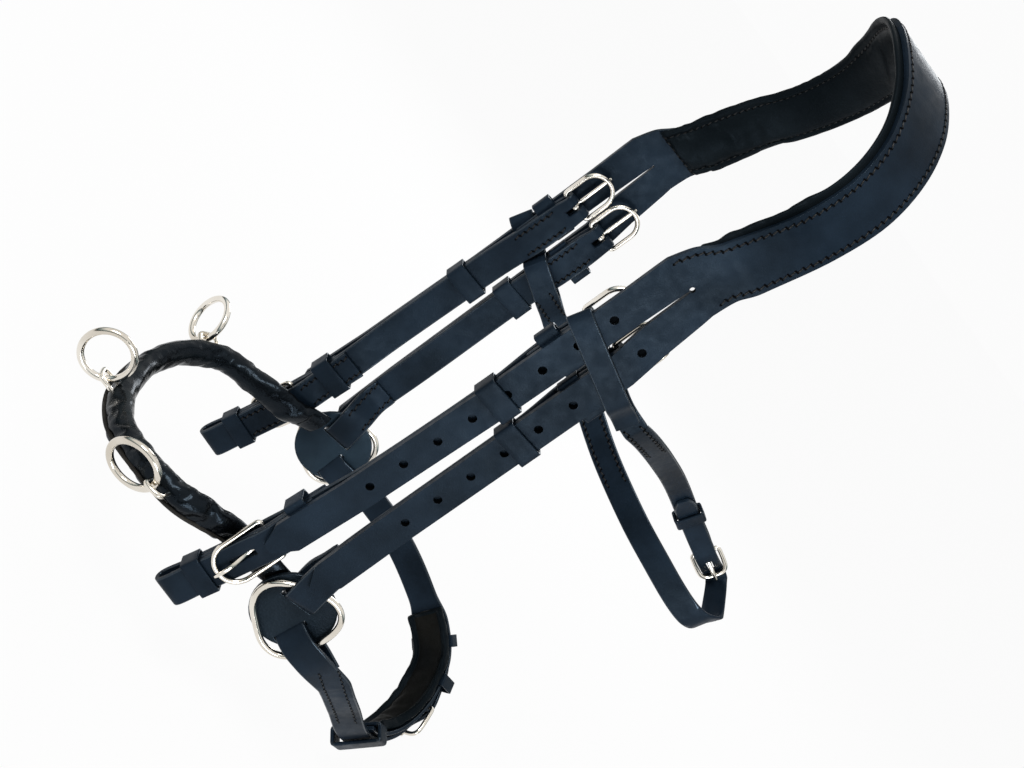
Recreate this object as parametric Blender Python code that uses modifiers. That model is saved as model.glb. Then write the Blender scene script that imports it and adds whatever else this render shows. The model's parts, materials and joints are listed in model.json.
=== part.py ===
# Cavesson bridle, hung by its crown.
# Millimetres in this script, metres in the meshes.
# Plus Z up the cheeks, minus Y the near side, minus X the nose.
# The origin is the seat of the crown lining on the poll.
import math

import bmesh
import bpy
import numpy as np
from mathutils import Matrix, Vector

# Driving dimensions, millimetres
HALF_SPAN = 94.0
STRAP_WIDTH = 22.0
BILLET_THICK = 3.5
CHEEK_THICK = 3.0
KEEPER_THICK = 1.8
KEEPER_WIDTH = 14.0
GAP = 0.3
HOLE_PITCH = 25.4
HOLE_WIDTH = 5.5
HOLE_COUNT = 8
SLIT_HOLE = 5.0
CROWN_BASE = -130.0
CROWN_TOP = 10.0
SPLIT_LEVEL = -165.0
BILLET_END = -465.0
HEEL_LEVEL = -222.0
FRAME_WIRE = 3.4
TOP_FRAME_WIDTH = 27.6
TOP_FRAME_LENGTH = 28.0
BIT_FRAME_WIDTH = 31.4
BIT_FRAME_LENGTH = 39.0
BIT_HEEL_LEVEL = -463.0
BIT_LOOP_END = -541.0
JOINING_RING_WIRE = 4.6
JOINING_RING_RADIUS = 27.5
DISC_RADIUS = 28.0
DISC_THICK = 3.0
NOSE_REACH = 113.0
ROLL_HEIGHT = 22.0
ROLL_DEPTH = 18.0
COVER_THICK = 1.6
CORE_WIDTH = 14.0
CORE_THICK = 1.5
NOSE_RING_WIDTH = 40.0
NOSE_RING_WIRE = 5.0
STAPLE_WIRE = 3.5
STAPLE_SPREAD = 13.0
STAPLE_REACH = 11.5
THROAT_WIDTH = 19.0
THROAT_NEAR_WIDTH = 16.0
THROAT_THICK = 2.6
CHIN_PAD_WIDTH = 28.0
CHIN_PAD_THICK = 9.0
CROWN_PAD_THICK = 7.7

# Values worked out from them
METRE = 0.001
WIRE = FRAME_WIRE / 2
EYE_THICK = 1.0
PRONG_WIDTH = 2.8
EYE_RADIUS = WIRE + 0.25 + EYE_THICK / 2
FOLD_RADIUS = WIRE + GAP + CHEEK_THICK / 2
PLY = CHEEK_THICK + GAP
KEEPER_PLY = KEEPER_THICK + GAP
BAR_N = -FOLD_RADIUS
BILLET_N = CHEEK_THICK / 2 + GAP + KEEPER_THICK + GAP + BILLET_THICK / 2
CHEEK_N = BILLET_N - (BILLET_THICK + CHEEK_THICK) / 2 - GAP
RING_N = CHEEK_N - CHEEK_THICK / 2 - GAP - JOINING_RING_WIRE / 2
DISC_N = RING_N - JOINING_RING_WIRE / 2 - GAP - DISC_THICK / 2
LAP_N = DISC_N - DISC_THICK / 2 - GAP - CHEEK_THICK / 2 - 0.2
FIRST_HOLE = HEEL_LEVEL + 12.0
CHAPE_WIDTH = TOP_FRAME_WIDTH - 2 * FRAME_WIRE - 1.8
CHAPE_LEVEL = HEEL_LEVEL - 8.0
SIDES = {"near": -1.0, "far": 1.0}
SHIFT = {"near": 0.5, "far": -2.6}
JOIN_MOVE = {"near": (0.0, 0.0), "far": (-4.5, 20.0)}
JOIN_START = -400.0
JOIN_RUN = 83.4
DRAWN_HALF_SPAN = 94.0

# Centre lines of the two cheeks in the side plane: level, then place
FRONT_LINE = [(-600, -33.0), (-537, -21.5), (-505, -15.0), (-487, -11.5), (-455, -7.4),
              (-400, -4.0), (-300, -1.0), (-225, -0.3), (-162, -0.2)]
BACK_LINE = [(-600, 45.0), (-483, 37.0), (-466, 33.0), (-450, 29.8), (-400, 28.8),
             (-225, 28.2), (-200, 24.6), (-180, 23.4), (-162, 22.2)]
FRONT_WIDTH = [(-600, STRAP_WIDTH), (-200, STRAP_WIDTH), (-162, STRAP_WIDTH + 1.4)]
BACK_WIDTH = [(-600, STRAP_WIDTH), (-200, STRAP_WIDTH), (-162, STRAP_WIDTH - 2.4)]


def table(rows, level):
    levels = [row[0] for row in rows]
    values = [row[1] for row in rows]
    return float(np.interp(level, levels, values))


# Scene set-up
for old in list(bpy.data.objects):
    bpy.data.objects.remove(old, do_unlink=True)
PARTS = bpy.data.collections.new("cavesson_bridle")
CUTTERS = bpy.data.collections.new("cutters")
bpy.context.scene.collection.children.link(PARTS)
bpy.context.scene.collection.children.link(CUTTERS)

LOOKS = {
    "strap": ((0.010, 0.014, 0.022), 0.45, 0.0),
    "lining": ((0.012, 0.012, 0.011), 0.80, 0.0),
    "cover": ((0.009, 0.010, 0.013), 0.50, 0.0),
    "foam": ((0.30, 0.29, 0.26), 0.90, 0.0),
    "chrome": ((0.72, 0.71, 0.69), 0.15, 1.0),
    "steel": ((0.50, 0.50, 0.50), 0.35, 1.0),
}


def make_material(name, look):
    material = bpy.data.materials.new(name)
    material.use_nodes = True
    shader = material.node_tree.nodes["Principled BSDF"]
    colour, roughness, metallic = LOOKS[look]
    shader.inputs["Base Color"].default_value = (*colour, 1.0)
    shader.inputs["Roughness"].default_value = roughness
    shader.inputs["Metallic"].default_value = metallic
    return material


def finish_mesh(name, bm, look, collection=None, sharp=35.0):
    bmesh.ops.recalc_face_normals(bm, faces=bm.faces)
    mesh = bpy.data.meshes.new(name)
    bm.to_mesh(mesh)
    bm.free()
    obj = bpy.data.objects.new(name, mesh)
    (collection or PARTS).objects.link(obj)
    if look:
        mesh.materials.append(make_material(name, look))
        mesh.shade_smooth()
        mesh.set_sharp_from_angle(angle=math.radians(sharp))
    return obj


# A closed tube through rings of points, made by extruding the first ring
def loft(name, rings, look, closed=False, sharp=35.0):
    bm = bmesh.new()
    verts = [bm.verts.new(point * METRE) for point in rings[0]]
    count = len(verts)
    edges = [bm.edges.new((verts[i], verts[(i + 1) % count])) for i in range(count)]
    start_edges = list(edges)
    if closed:
        rings = rings + [rings[0]]
    for ring in rings[1:]:
        made = bmesh.ops.extrude_edge_only(bm, edges=edges)["geom"]
        fresh = {item for item in made if isinstance(item, bmesh.types.BMVert)}
        partners = []
        for vert in verts:
            partner = next(e.other_vert(vert) for e in vert.link_edges if e.other_vert(vert) in fresh)
            partners.append(partner)
        for partner, point in zip(partners, ring):
            partner.co = point * METRE
        verts = partners
        edges = [bm.edges.get((verts[i], verts[(i + 1) % count])) for i in range(count)]
    if closed:
        bmesh.ops.remove_doubles(bm, verts=bm.verts, dist=1e-6)
    else:
        bmesh.ops.holes_fill(bm, edges=start_edges + edges, sides=0)
    return finish_mesh(name, bm, look, sharp=sharp)


def per_station(value, count):
    if isinstance(value, (list, tuple)):
        return list(value)
    return [value] * count


# Axes of every station of a strap: place, side, face normal and mitre
def stations(points, refs, closed=False):
    count = len(points)
    refs = per_station(refs, count)
    frames = []
    for i in range(count):
        before = points[i] - points[i - 1] if (i > 0 or closed) else points[1] - points[0]
        after = points[(i + 1) % count] - points[i] if (i < count - 1 or closed) else before
        before = before.normalized()
        after = after.normalized()
        along = (before + after).normalized()
        normal = along.cross(refs[i]).normalized()
        side = normal.cross(along).normalized()
        mitre = 1.0 / max(before.dot(along), 0.6)
        frames.append((points[i], side, normal, mitre))
    return frames


def strap_ring(centre, side, normal, width, thick, edge=0.5):
    w = width / 2
    t = thick / 2
    if edge == 0:
        return [centre + side * a + normal * b for a, b in ((w, -t), (w, t), (-w, t), (-w, -t))]
    c = min(edge, t * 0.5, w * 0.5)
    outline = [(w, -t + c), (w, t - c), (w - c, t), (-w + c, t),
               (-w, t - c), (-w, -t + c), (-w + c, -t), (w - c, -t)]
    return [centre + side * a + normal * b for a, b in outline]


# A strap of leather or metal along a path
def ribbon(name, points, width, thick, refs, look="strap", closed=False, edge=0.5):
    frames = stations(points, refs, closed)
    widths = per_station(width, len(points))
    thicks = per_station(thick, len(points))
    rings = []
    for frame, w, t in zip(frames, widths, thicks):
        rings.append(strap_ring(frame[0], frame[1], frame[2], w, t * frame[3], edge))
    return loft(name, rings, look, closed)


# A smooth path through a few points
def smooth(points, steps):
    count = len(points)
    path = []
    for i in range(count - 1):
        a = points[max(i - 1, 0)]
        b = points[i]
        c = points[i + 1]
        d = points[min(i + 2, count - 1)]
        for k in range(steps):
            t = k / steps
            path.append(0.5 * (2 * b + (c - a) * t + (2 * a - 5 * b + 4 * c - d) * t ** 2
                               + (3 * b - a - 3 * c + d) * t ** 3))
    path.append(points[-1])
    return path


# Round wire along a path, made from a curve
def wire(name, points, radius, look="chrome", closed=True, resolution=2):
    curve = bpy.data.curves.new(name, "CURVE")
    curve.dimensions = "3D"
    spline = curve.splines.new("POLY")
    spline.points.add(len(points) - 1)
    for target, point in zip(spline.points, points):
        target.co = (*(point * METRE), 1.0)
    spline.use_cyclic_u = closed
    curve.bevel_depth = radius * METRE
    curve.bevel_resolution = resolution
    curve.use_fill_caps = True
    holder = bpy.data.objects.new(name + "_curve", curve)
    PARTS.objects.link(holder)
    graph = bpy.context.evaluated_depsgraph_get()
    mesh = bpy.data.meshes.new_from_object(holder.evaluated_get(graph))
    bm = bmesh.new()
    bm.from_mesh(mesh)
    bmesh.ops.remove_doubles(bm, verts=bm.verts, dist=1e-6)
    bpy.data.objects.remove(holder, do_unlink=True)
    bpy.data.curves.remove(curve)
    bpy.data.meshes.remove(mesh)
    return finish_mesh(name, bm, look, sharp=50.0)


def move_origin(obj, point):
    place = point * METRE
    obj.data.transform(Matrix.Translation(-place))
    obj.location = place


# Cutting tools: boxes and round pegs, joined into one object
def cutter(name, boxes=(), pegs=()):
    bm = bmesh.new()
    for centre, axes, size in boxes:
        turn = Matrix((axes[0], axes[1], axes[2])).transposed().to_4x4()
        scale = Matrix.Diagonal((*(Vector(size) * METRE), 1.0))
        bmesh.ops.create_cube(bm, size=1.0, matrix=Matrix.Translation(centre * METRE) @ turn @ scale)
    for centre, axis, width, depth in pegs:
        turn = axis.to_track_quat("Z", "Y").to_matrix().to_4x4()
        bmesh.ops.create_cone(bm, cap_ends=True, segments=8, radius1=width / 2 * METRE,
                              radius2=width / 2 * METRE, depth=depth * METRE,
                              matrix=Matrix.Translation(centre * METRE) @ turn)
    obj = finish_mesh(name, bm, None, CUTTERS)
    obj.hide_render = True
    obj.display_type = "WIRE"
    return obj


def cut(obj, tool):
    modifier = obj.modifiers.new("cut", "BOOLEAN")
    modifier.operation = "DIFFERENCE"
    modifier.solver = "EXACT"
    modifier.object = tool


# Places on the side of the head: n grows away from the horse
def on_side(side, x, n, z):
    return Vector((x + SHIFT[side], SIDES[side] * (HALF_SPAN + n), z))


def lean(line, z):
    z = min(z, CHAPE_LEVEL)
    slope = (table(line, z + 4) - table(line, z - 4)) / 8
    return Vector((1.0, 0.0, -slope)).normalized()


def cheek_path(side, line, rows):
    points = [on_side(side, table(line, min(z, CHAPE_LEVEL)), n, z) for n, z in rows]
    refs = [lean(line, z) for n, z in rows]
    return points, refs


def fold_rows(bar_n, level, radius, start=0, end=180, step=30):
    rows = []
    for angle in range(start, end + 1, step):
        turn = math.radians(angle)
        rows.append((bar_n + radius * math.cos(turn), level + radius * math.sin(turn)))
    return rows


# A flat loop of leather round straps: across is the strap's width, out is away from the horse
def keeper(name, centre, across, out, inside, height, width=KEEPER_WIDTH, thick=KEEPER_THICK):
    corner = thick / 2 + 0.2
    w = inside / 2 + thick / 2
    h = height / 2 + thick / 2
    outline = []
    for sx, sy, first in ((1, 1, 0), (-1, 1, 90), (-1, -1, 180), (1, -1, 270)):
        for extra in (0, 45, 90):
            turn = math.radians(first + extra)
            outline.append((sx * (w - corner) + corner * math.cos(turn),
                            sy * (h - corner) + corner * math.sin(turn)))
    points = [centre + across * a + out * b for a, b in outline]
    along = across.cross(out).normalized()
    return ribbon(name, points, width, thick, along, closed=True, edge=0)


# A buckle: heel bar at the origin, u towards the outer bar, w across, c out of the frame
def frame_points(heel, u, w, c, width, length, rise, heel_corner=2.5, end_corner=6.5):
    half = width / 2 - WIRE
    points = []
    for sx, top, first, radius in ((1, True, 0, end_corner), (-1, True, 90, end_corner),
                                   (-1, False, 180, heel_corner), (1, False, 270, heel_corner)):
        for extra in (0, 30, 60, 90):
            turn = math.radians(first + extra)
            a = sx * (half - radius) + radius * math.cos(turn)
            b = (length - radius if top else radius) + radius * math.sin(turn)
            points.append(heel + w * a + u * b + c * (rise * b / length))
    return points


def buckle(prefix, heel, u, w, c, width, length, rise, shank):
    frame = wire(prefix + "_frame", frame_points(heel, u, w, c, width, length, rise), WIRE)
    eye = []
    for angle in range(20, -271, -41):
        turn = math.radians(angle)
        eye.append((EYE_RADIUS * math.cos(turn), EYE_RADIUS * math.sin(turn)))
    rows = eye + shank
    points = [heel + u * a + c * b for a, b in rows]
    bend = len(eye)
    widths = [PRONG_WIDTH] * (len(rows) - 1) + [PRONG_WIDTH * 0.6]
    thicks = [EYE_THICK] * bend + [1.8] * (len(shank) - 1) + [1.2]
    prong = ribbon(prefix + "_prong", points, widths, thicks, w, "chrome")
    move_origin(prong, heel)
    return frame, prong


# Crown: one surface, three columns wide, that parts into two billets at each side
def crown_arch():
    reach = HALF_SPAN + BILLET_N
    shape = [(0, 24, 37), (15, 34, 34), (30, 40, 34), (45, 38.5, 36), (60, 31, 41), (75, 21, 46),
             (90, 17, 48)]
    rows = []
    for angle in np.arange(0, 181, 7.5):
        folded = min(angle, 180 - angle)
        centre = table([(r[0], r[1]) for r in shape], folded)
        width = table([(r[0], r[2]) for r in shape], folded)
        turn = math.radians(angle)
        y = -reach * math.cos(turn)
        z = CROWN_BASE + (CROWN_TOP - BILLET_THICK / 2 + 0.75 - CROWN_BASE) * math.sin(turn)
        side = -0.5 * math.cos(turn)
        rows.append((centre + side * (SHIFT["near"] - SHIFT["far"]) + (SHIFT["near"] + SHIFT["far"]) / 2,
                     y, z, width))
    return rows


def crown_row(centre, y, z, width, parting):
    half = width / 2
    return [Vector((centre - half, y, z)), Vector((parting[0], y, z)),
            Vector((parting[1], y, z)), Vector((centre + half, y, z))]


def neck_rows(side):
    y = SIDES[side] * (HALF_SPAN + BILLET_N)
    move = SHIFT[side]
    rows = []
    shoulders = ((SPLIT_LEVEL, 10.2, 43.8, 0.9), (-150.0, 13.0, 40.5, 6.0), (-140.0, 18.0, 38.0, 9.0))
    for z, centre, width, slit in shoulders:
        parting = (12.0 + move - slit / 2, 12.0 + move + slit / 2)
        rows.append(crown_row(centre + move, y, z, width, parting))
    return rows


def make_crown():
    rows = neck_rows("near")
    for centre, y, z, width in crown_arch():
        rows.append(crown_row(centre, y, z, width, (centre - width / 6, centre + width / 6)))
    rows += list(reversed(neck_rows("far")))
    bm = bmesh.new()
    chain = [bm.verts.new(point * METRE) for point in rows[0]]
    edges = [bm.edges.new((chain[i], chain[i + 1])) for i in range(3)]
    near_edges = list(edges)

    def pull(old_edges, old_chain, points):
        made = bmesh.ops.extrude_edge_only(bm, edges=old_edges)["geom"]
        fresh = {item for item in made if isinstance(item, bmesh.types.BMVert)}
        new_chain = []
        for vert in old_chain:
            new_chain.append(next(e.other_vert(vert) for e in vert.link_edges if e.other_vert(vert) in fresh))
        for vert, point in zip(new_chain, points):
            vert.co = point * METRE
        new_edges = [bm.edges.get((new_chain[i], new_chain[i + 1])) for i in range(len(new_chain) - 1)]
        return new_edges, new_chain

    near_chain = list(chain)
    for row in rows[1:]:
        edges, chain = pull(edges, chain, row)
    ends = {"near": (near_edges, near_chain), "far": (edges, chain)}
    for side, (end_edges, end_chain) in ends.items():
        for line, widths, pick in ((FRONT_LINE, FRONT_WIDTH, 0), (BACK_LINE, BACK_WIDTH, 2)):
            strip_edges = [end_edges[pick]]
            strip_chain = end_chain[pick:pick + 2]
            for z in (-172, -184, -200, -214, -226, -262, -300, -350, -400, -430, -450, BILLET_END):
                half = table(widths, z) / 2 if z > BILLET_END else 3.5
                centre = on_side(side, table(line, z), BILLET_N, z)
                across = lean(line, z) if z < -230 else Vector((1, 0, 0))
                points = [centre - across * half, centre + across * half]
                strip_edges, strip_chain = pull(strip_edges, strip_chain, points)
    crown = finish_mesh("crown_leather", bm, "strap")
    solid = crown.modifiers.new("thickness", "SOLIDIFY")
    solid.thickness = BILLET_THICK * METRE
    solid.offset = 0.0
    solid.use_even_offset = True
    rounding = crown.modifiers.new("edges", "BEVEL")
    rounding.width = 0.45 * METRE
    rounding.segments = 1
    rounding.limit_method = "ANGLE"
    rounding.angle_limit = math.radians(50)
    pegs = []
    for side in SIDES:
        out = Vector((0, SIDES[side], 0))
        centre = on_side(side, 12.0, BILLET_N, SPLIT_LEVEL)
        pegs.append((centre, out, SLIT_HOLE, BILLET_THICK * 3))
        for line in (FRONT_LINE, BACK_LINE):
            for k in range(HOLE_COUNT):
                z = FIRST_HOLE - HOLE_PITCH * k
                pegs.append((on_side(side, table(line, z), BILLET_N, z), out, HOLE_WIDTH, BILLET_THICK * 3))
    cut(crown, cutter("crown_holes", pegs=pegs))


# Lining under the crown: flat against the leather, domed towards the poll
def make_crown_padding():
    neck = []
    for side in ("near", "far"):
        y = SIDES[side] * (HALF_SPAN + BILLET_N)
        neck.append([(14.0 + SHIFT[side], y, -148.0, 39.0), (18.5 + SHIFT[side], y, -139.0, 37.5)])
    rows = neck[0] + crown_arch() + list(reversed(neck[1]))
    points = [Vector((0, r[1], r[2])) for r in rows]
    frames = stations(points, Vector((1, 0, 0)))
    rings = []
    last = len(rows) - 1
    for i, (row, frame) in enumerate(zip(rows, frames)):
        side = Vector((1, 0, 0))
        centre = frame[0] + side * row[0]
        normal = frame[2]
        inward = Vector((0, -centre.y, -centre.z - 100)).normalized()
        if normal.dot(inward) < 0:
            normal = -normal
        fade = min(1.0, 0.35 + 0.33 * min(i, last - i))
        depth = CROWN_PAD_THICK * fade
        half = row[3] / 2 - 1.2
        front = half + 2.6 * max(0.0, math.sin(math.pi * i / last)) ** 2
        base = BILLET_THICK / 2 + GAP
        outline = [(-front * 0.92, 0.0), (half * 0.94, 0.0), (half, depth * 0.28), (half * 0.86, depth * 0.72),
                   (half * 0.5, depth * 0.97), (0.0, depth), (-half * 0.5, depth * 0.97),
                   (-front * 0.86, depth * 0.78), (-front, depth * 0.35)]
        rings.append([centre + side * a + normal * (base + b) for a, b in outline])
    loft("crown_padding", rings, "lining", sharp=60.0)


# Front cheek: folded round the top buckle, core of the bit end
def bit_bar_levels():
    free_n = BILLET_N - (BILLET_THICK + CHEEK_THICK) / 2 - GAP
    core_n = free_n - PLY
    bar_n = core_n - FOLD_RADIUS
    inner_n = bar_n - EYE_RADIUS - EYE_THICK / 2 - GAP - CHEEK_THICK / 2
    return free_n, core_n, bar_n, inner_n


def top_fold():
    rows = [(0.0, HEEL_LEVEL - 42), (0.0, HEEL_LEVEL - 20), (0.0, HEEL_LEVEL - 5)]
    rows += fold_rows(BAR_N, HEEL_LEVEL, FOLD_RADIUS)
    rows += [(-2 * FOLD_RADIUS + 0.2, HEEL_LEVEL - 4), (-PLY - KEEPER_PLY, HEEL_LEVEL - 12),
             (-PLY - KEEPER_PLY, HEEL_LEVEL - 43)]
    return rows


def chape_widths(rows):
    widths = []
    for n, z in rows:
        share = min(max((HEEL_LEVEL - 3 - z) / 8.0, 0.0), 1.0)
        widths.append(CHAPE_WIDTH + (STRAP_WIDTH - CHAPE_WIDTH) * share)
    return widths


def chape_slot(side, line):
    centre = on_side(side, table(line, CHAPE_LEVEL), BAR_N, HEEL_LEVEL + 0.5)
    axes = (Vector((1, 0, 0)), Vector((0, 1, 0)), Vector((0, 0, 1)))
    return (centre, axes, (PRONG_WIDTH + 1.6, 20.0, 15.0))


def make_bit_cheekpiece(side):
    free_n, core_n, bar_n, inner_n = bit_bar_levels()
    rows = top_fold()
    rows += [(CHEEK_N, -284), (CHEEK_N, -340), (CHEEK_N, -392), (-PLY, -412), (-PLY, -447),
             (core_n, BIT_HEEL_LEVEL + 6), (core_n, BIT_HEEL_LEVEL - 6), (-PLY, BIT_HEEL_LEVEL - 16),
             (-PLY, -519)]
    points, refs = cheek_path(side, FRONT_LINE, rows)
    strap = ribbon(side + "_bit_cheekpiece", points, chape_widths(rows), CHEEK_THICK, refs)
    z = BIT_HEEL_LEVEL - 8.5
    centre = on_side(side, table(FRONT_LINE, z), core_n, z)
    across = lean(FRONT_LINE, z)
    out = Vector((0, 1, 0))
    slot = (centre, (across, out, across.cross(out)), (PRONG_WIDTH + 1.4, 9.0, 27.0))
    cut(strap, cutter(side + "_bit_cheek_slots", boxes=[chape_slot(side, FRONT_LINE), slot]))


def make_cavesson_cheekpiece(side):
    move, lift = JOIN_MOVE[side]
    rows = top_fold()
    rows += [(CHEEK_N, -284), (CHEEK_N, -340), (CHEEK_N, JOIN_START)]
    start = len(rows)
    rows += [(CHEEK_N, -450), (CHEEK_N, -476.5), (CHEEK_N - 0.5, -478.8),
             (0.0, -480.8), (-2.2, -482.4), (-4.2, -483.4), (DISC_N, -483.9), (-7.9, -483.3),
             (-9.1, -480.8), (LAP_N, -475), (LAP_N, -461), (LAP_N + 3.0, -453.5),
             (CHEEK_N - PLY, -445), (CHEEK_N - PLY, -434)]
    points, refs = cheek_path(side, BACK_LINE, rows)
    for i in range(start, len(rows)):
        share = min(max((JOIN_START - rows[i][1]) / JOIN_RUN, 0.0), 1.0)
        points[i] += Vector((move * share, 0, lift))
        slope = refs[i].z / refs[i].x + move / (JOIN_RUN - lift)
        refs[i] = Vector((1.0, 0.0, slope)).normalized()
    strap = ribbon(side + "_cavesson_cheekpiece", points, chape_widths(rows), CHEEK_THICK, refs)
    cut(strap, cutter(side + "_cavesson_cheek_slot", boxes=[chape_slot(side, BACK_LINE)]))


def make_bit_strap(side):
    free_n, core_n, bar_n, inner_n = bit_bar_levels()
    flat_n = -2 * PLY
    rows = [(flat_n, -415), (flat_n, -444), (inner_n, BIT_HEEL_LEVEL + 6), (inner_n, BIT_HEEL_LEVEL - 7),
            (flat_n, BIT_HEEL_LEVEL - 17), (flat_n, -520), (flat_n - 1.3, -530)]
    middle = -PLY
    radius = PLY + 1.2
    for angle in range(195, 346, 30):
        turn = math.radians(angle)
        rows.append((middle + radius * math.cos(turn), BIT_LOOP_END + radius + 1.5 + radius * math.sin(turn)))
    rows += [(1.3, -530), (0.0, -520), (0.0, -503), (0.0, BIT_HEEL_LEVEL - 16), (free_n, BIT_HEEL_LEVEL - 6),
             (free_n, BIT_HEEL_LEVEL + 6), (0.0, -447), (0.0, -424)]
    points, refs = cheek_path(side, FRONT_LINE, rows)
    strap = ribbon(side + "_bit_strap", points, STRAP_WIDTH, CHEEK_THICK, refs)
    z = -483.5
    across = lean(FRONT_LINE, z)
    out = Vector((0, 1, 0))
    hole = (on_side(side, table(FRONT_LINE, z), 1.0, z), (across, out, across.cross(out)),
            (PRONG_WIDTH + 1.6, 6.0, 19.0))
    cut(strap, cutter(side + "_bit_strap_hole", boxes=[hole]))


def make_side_buckles(side):
    out = Vector((0, SIDES[side], 0))
    up = Vector((0, 0, 1))
    across = Vector((1, 0, 0))
    rest = WIRE + GAP + 0.9
    for name, line in (("bit_top", FRONT_LINE), ("cavesson_top", BACK_LINE)):
        heel = on_side(side, table(line, CHAPE_LEVEL), BAR_N, HEEL_LEVEL)
        shank = [(6.0, EYE_RADIUS + 0.2), (16.0, rest), (TOP_FRAME_LENGTH - 2, rest),
                 (TOP_FRAME_LENGTH + 2.6, rest)]
        buckle(side + "_" + name, heel, up, across, out, TOP_FRAME_WIDTH, TOP_FRAME_LENGTH, 0.0, shank)
    free_n, core_n, bar_n, inner_n = bit_bar_levels()
    z = BIT_HEEL_LEVEL
    across = lean(FRONT_LINE, z - 20)
    heel = on_side(side, table(FRONT_LINE, z), bar_n, z)
    down = across.cross(out).normalized()
    if down.z > 0:
        down = -down
    lower_n = CHEEK_THICK / 2 + GAP + WIRE
    rise = lower_n - bar_n
    tip = rise + WIRE + GAP + 0.9
    shank = [(4.0, EYE_RADIUS - 0.3), (10.0, 1.7), (17.0, 2.3), (22.5, 5.0), (28.5, 9.2), (34.0, tip - 0.4),
             (BIT_FRAME_LENGTH - 1.0, tip), (BIT_FRAME_LENGTH + 2.6, tip)]
    buckle(side + "_bit_buckle", heel, down, across, out, BIT_FRAME_WIDTH, BIT_FRAME_LENGTH, rise, shank)


def make_side_keepers(side):
    out = Vector((0, SIDES[side], 0))
    near = side == "near"
    levels = {"bit": -247.0 if near else -239.0, "cavesson": -255.5 if near else -250.0}
    runners = {"bit": -293.0 if near else -316.0, "cavesson": -302.0 if near else -299.0}
    low = CHEEK_N - CHEEK_THICK / 2 - GAP
    high = BILLET_N + BILLET_THICK / 2 + GAP
    for name, line, push in (("bit", FRONT_LINE, -2.1), ("cavesson", BACK_LINE, 2.1)):
        z = levels[name]
        centre = on_side(side, table(line, z) + push, 0.0, z)
        keeper(side + "_" + name + "_top_keeper", centre, lean(line, z), out, STRAP_WIDTH + 4.8,
               CHEEK_THICK + 2 * GAP)
        z = runners[name]
        centre = on_side(side, table(line, z), (low + high) / 2, z)
        keeper(side + "_" + name + "_runner", centre, lean(line, z), out, STRAP_WIDTH + 1.2, high - low)
    low = -2 * PLY - CHEEK_THICK / 2 - GAP
    high = CHEEK_THICK / 2 + GAP
    for name, z, extra in (("point_keeper", -435.0, 3.4), ("bit_loop_keeper", -514.5, 1.6)):
        push = -1.0 if name == "point_keeper" else 0.0
        centre = on_side(side, table(FRONT_LINE, z) + push, (low + high) / 2, z)
        width = KEEPER_WIDTH if name == "point_keeper" else KEEPER_WIDTH - 1.5
        keeper(side + "_" + name, centre, lean(FRONT_LINE, z), out, STRAP_WIDTH + extra, high - low, width)


# Joining ring: a rounded triangle, and the slotted disc behind it
RING_PLACE = (44.0, -492.5)
RING_TURN = -62.0
DISC_PLACE = (40.5, -490.5)
CHEEK_SLOT_LEVEL = -483.6
CHIN_SLOT = (51.0, -502.0)
CHIN_SLOT_TURN = {"near": 84.0, "far": 92.0}


def on_join(side, x, n, z):
    move, lift = JOIN_MOVE[side]
    return on_side(side, x + move, n, z + lift)


def make_joining(side):
    points = []
    for step in range(24):
        turn = math.tau * step / 24
        radius = JOINING_RING_RADIUS + 3.2 * math.cos(3 * (turn - math.radians(RING_TURN)))
        points.append(on_join(side, RING_PLACE[0] + radius * math.cos(turn), RING_N,
                              RING_PLACE[1] + radius * math.sin(turn)))
    wire(side + "_three_way_ring", points, JOINING_RING_WIRE / 2)
    bm = bmesh.new()
    out = Vector((0, SIDES[side], 0))
    centre = on_join(side, DISC_PLACE[0], DISC_N, DISC_PLACE[1])
    turn = out.to_track_quat("Z", "Y").to_matrix().to_4x4()
    bmesh.ops.create_cone(bm, cap_ends=True, segments=40, radius1=DISC_RADIUS * METRE,
                          radius2=DISC_RADIUS * METRE, depth=DISC_THICK * METRE,
                          matrix=Matrix.Translation(centre * METRE) @ turn)
    disc = finish_mesh(side + "_guard_disc", bm, "lining")
    move, lift = JOIN_MOVE[side]
    tilt = lean(BACK_LINE, CHEEK_SLOT_LEVEL)
    tilt = Vector((1.0, 0.0, tilt.z / tilt.x + move / (JOIN_RUN - lift))).normalized()
    slot_a = (on_join(side, table(BACK_LINE, CHEEK_SLOT_LEVEL), DISC_N, CHEEK_SLOT_LEVEL),
              (tilt, out, tilt.cross(out)), (STRAP_WIDTH + 1.8, 9.0, 7.8))
    angle = math.radians(CHIN_SLOT_TURN[side])
    along = Vector((math.cos(angle), 0, math.sin(angle)))
    slot_b = (on_join(side, CHIN_SLOT[0], DISC_N, CHIN_SLOT[1]), (along, out, along.cross(out)),
              (STRAP_WIDTH + 2.2, 9.0, 6.8))
    cut(disc, cutter(side + "_disc_slots", boxes=[slot_a, slot_b]))


# Nose roll: a flattened U with soft cover, filling and steel core
NOSE_HALF = [(20, 82.6, -484), (8, 82.1, -484.5), (-8, 80.2, -485), (-24, 78.6, -485.5), (-42, 82.5, -486.5),
             (-60, 86, -488), (-74, 83, -490.5), (-88, 73.5, -495), (-100, 57, -502), (-108.5, 34, -509),
             (-NOSE_REACH, 0, -513)]
FAR_RISE = [(-100, 0.0), (-77, 3.0), (-60, 6.0), (-24, 14.0), (20, 20.0)]
FAR_MOVE = [(-60, 0.0), (-24, -3.0), (20, -4.5)]
FAR_IN = [(-60, 0.0), (-42, 2.5), (-24, 3.8), (-8, 6.2), (8, 2.4), (20, 0.0)]


# How much a place at this y belongs to the side of the head, from 0 to 1
def side_share(y):
    return min(abs(y) / 60.0, 1.0)


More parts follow.
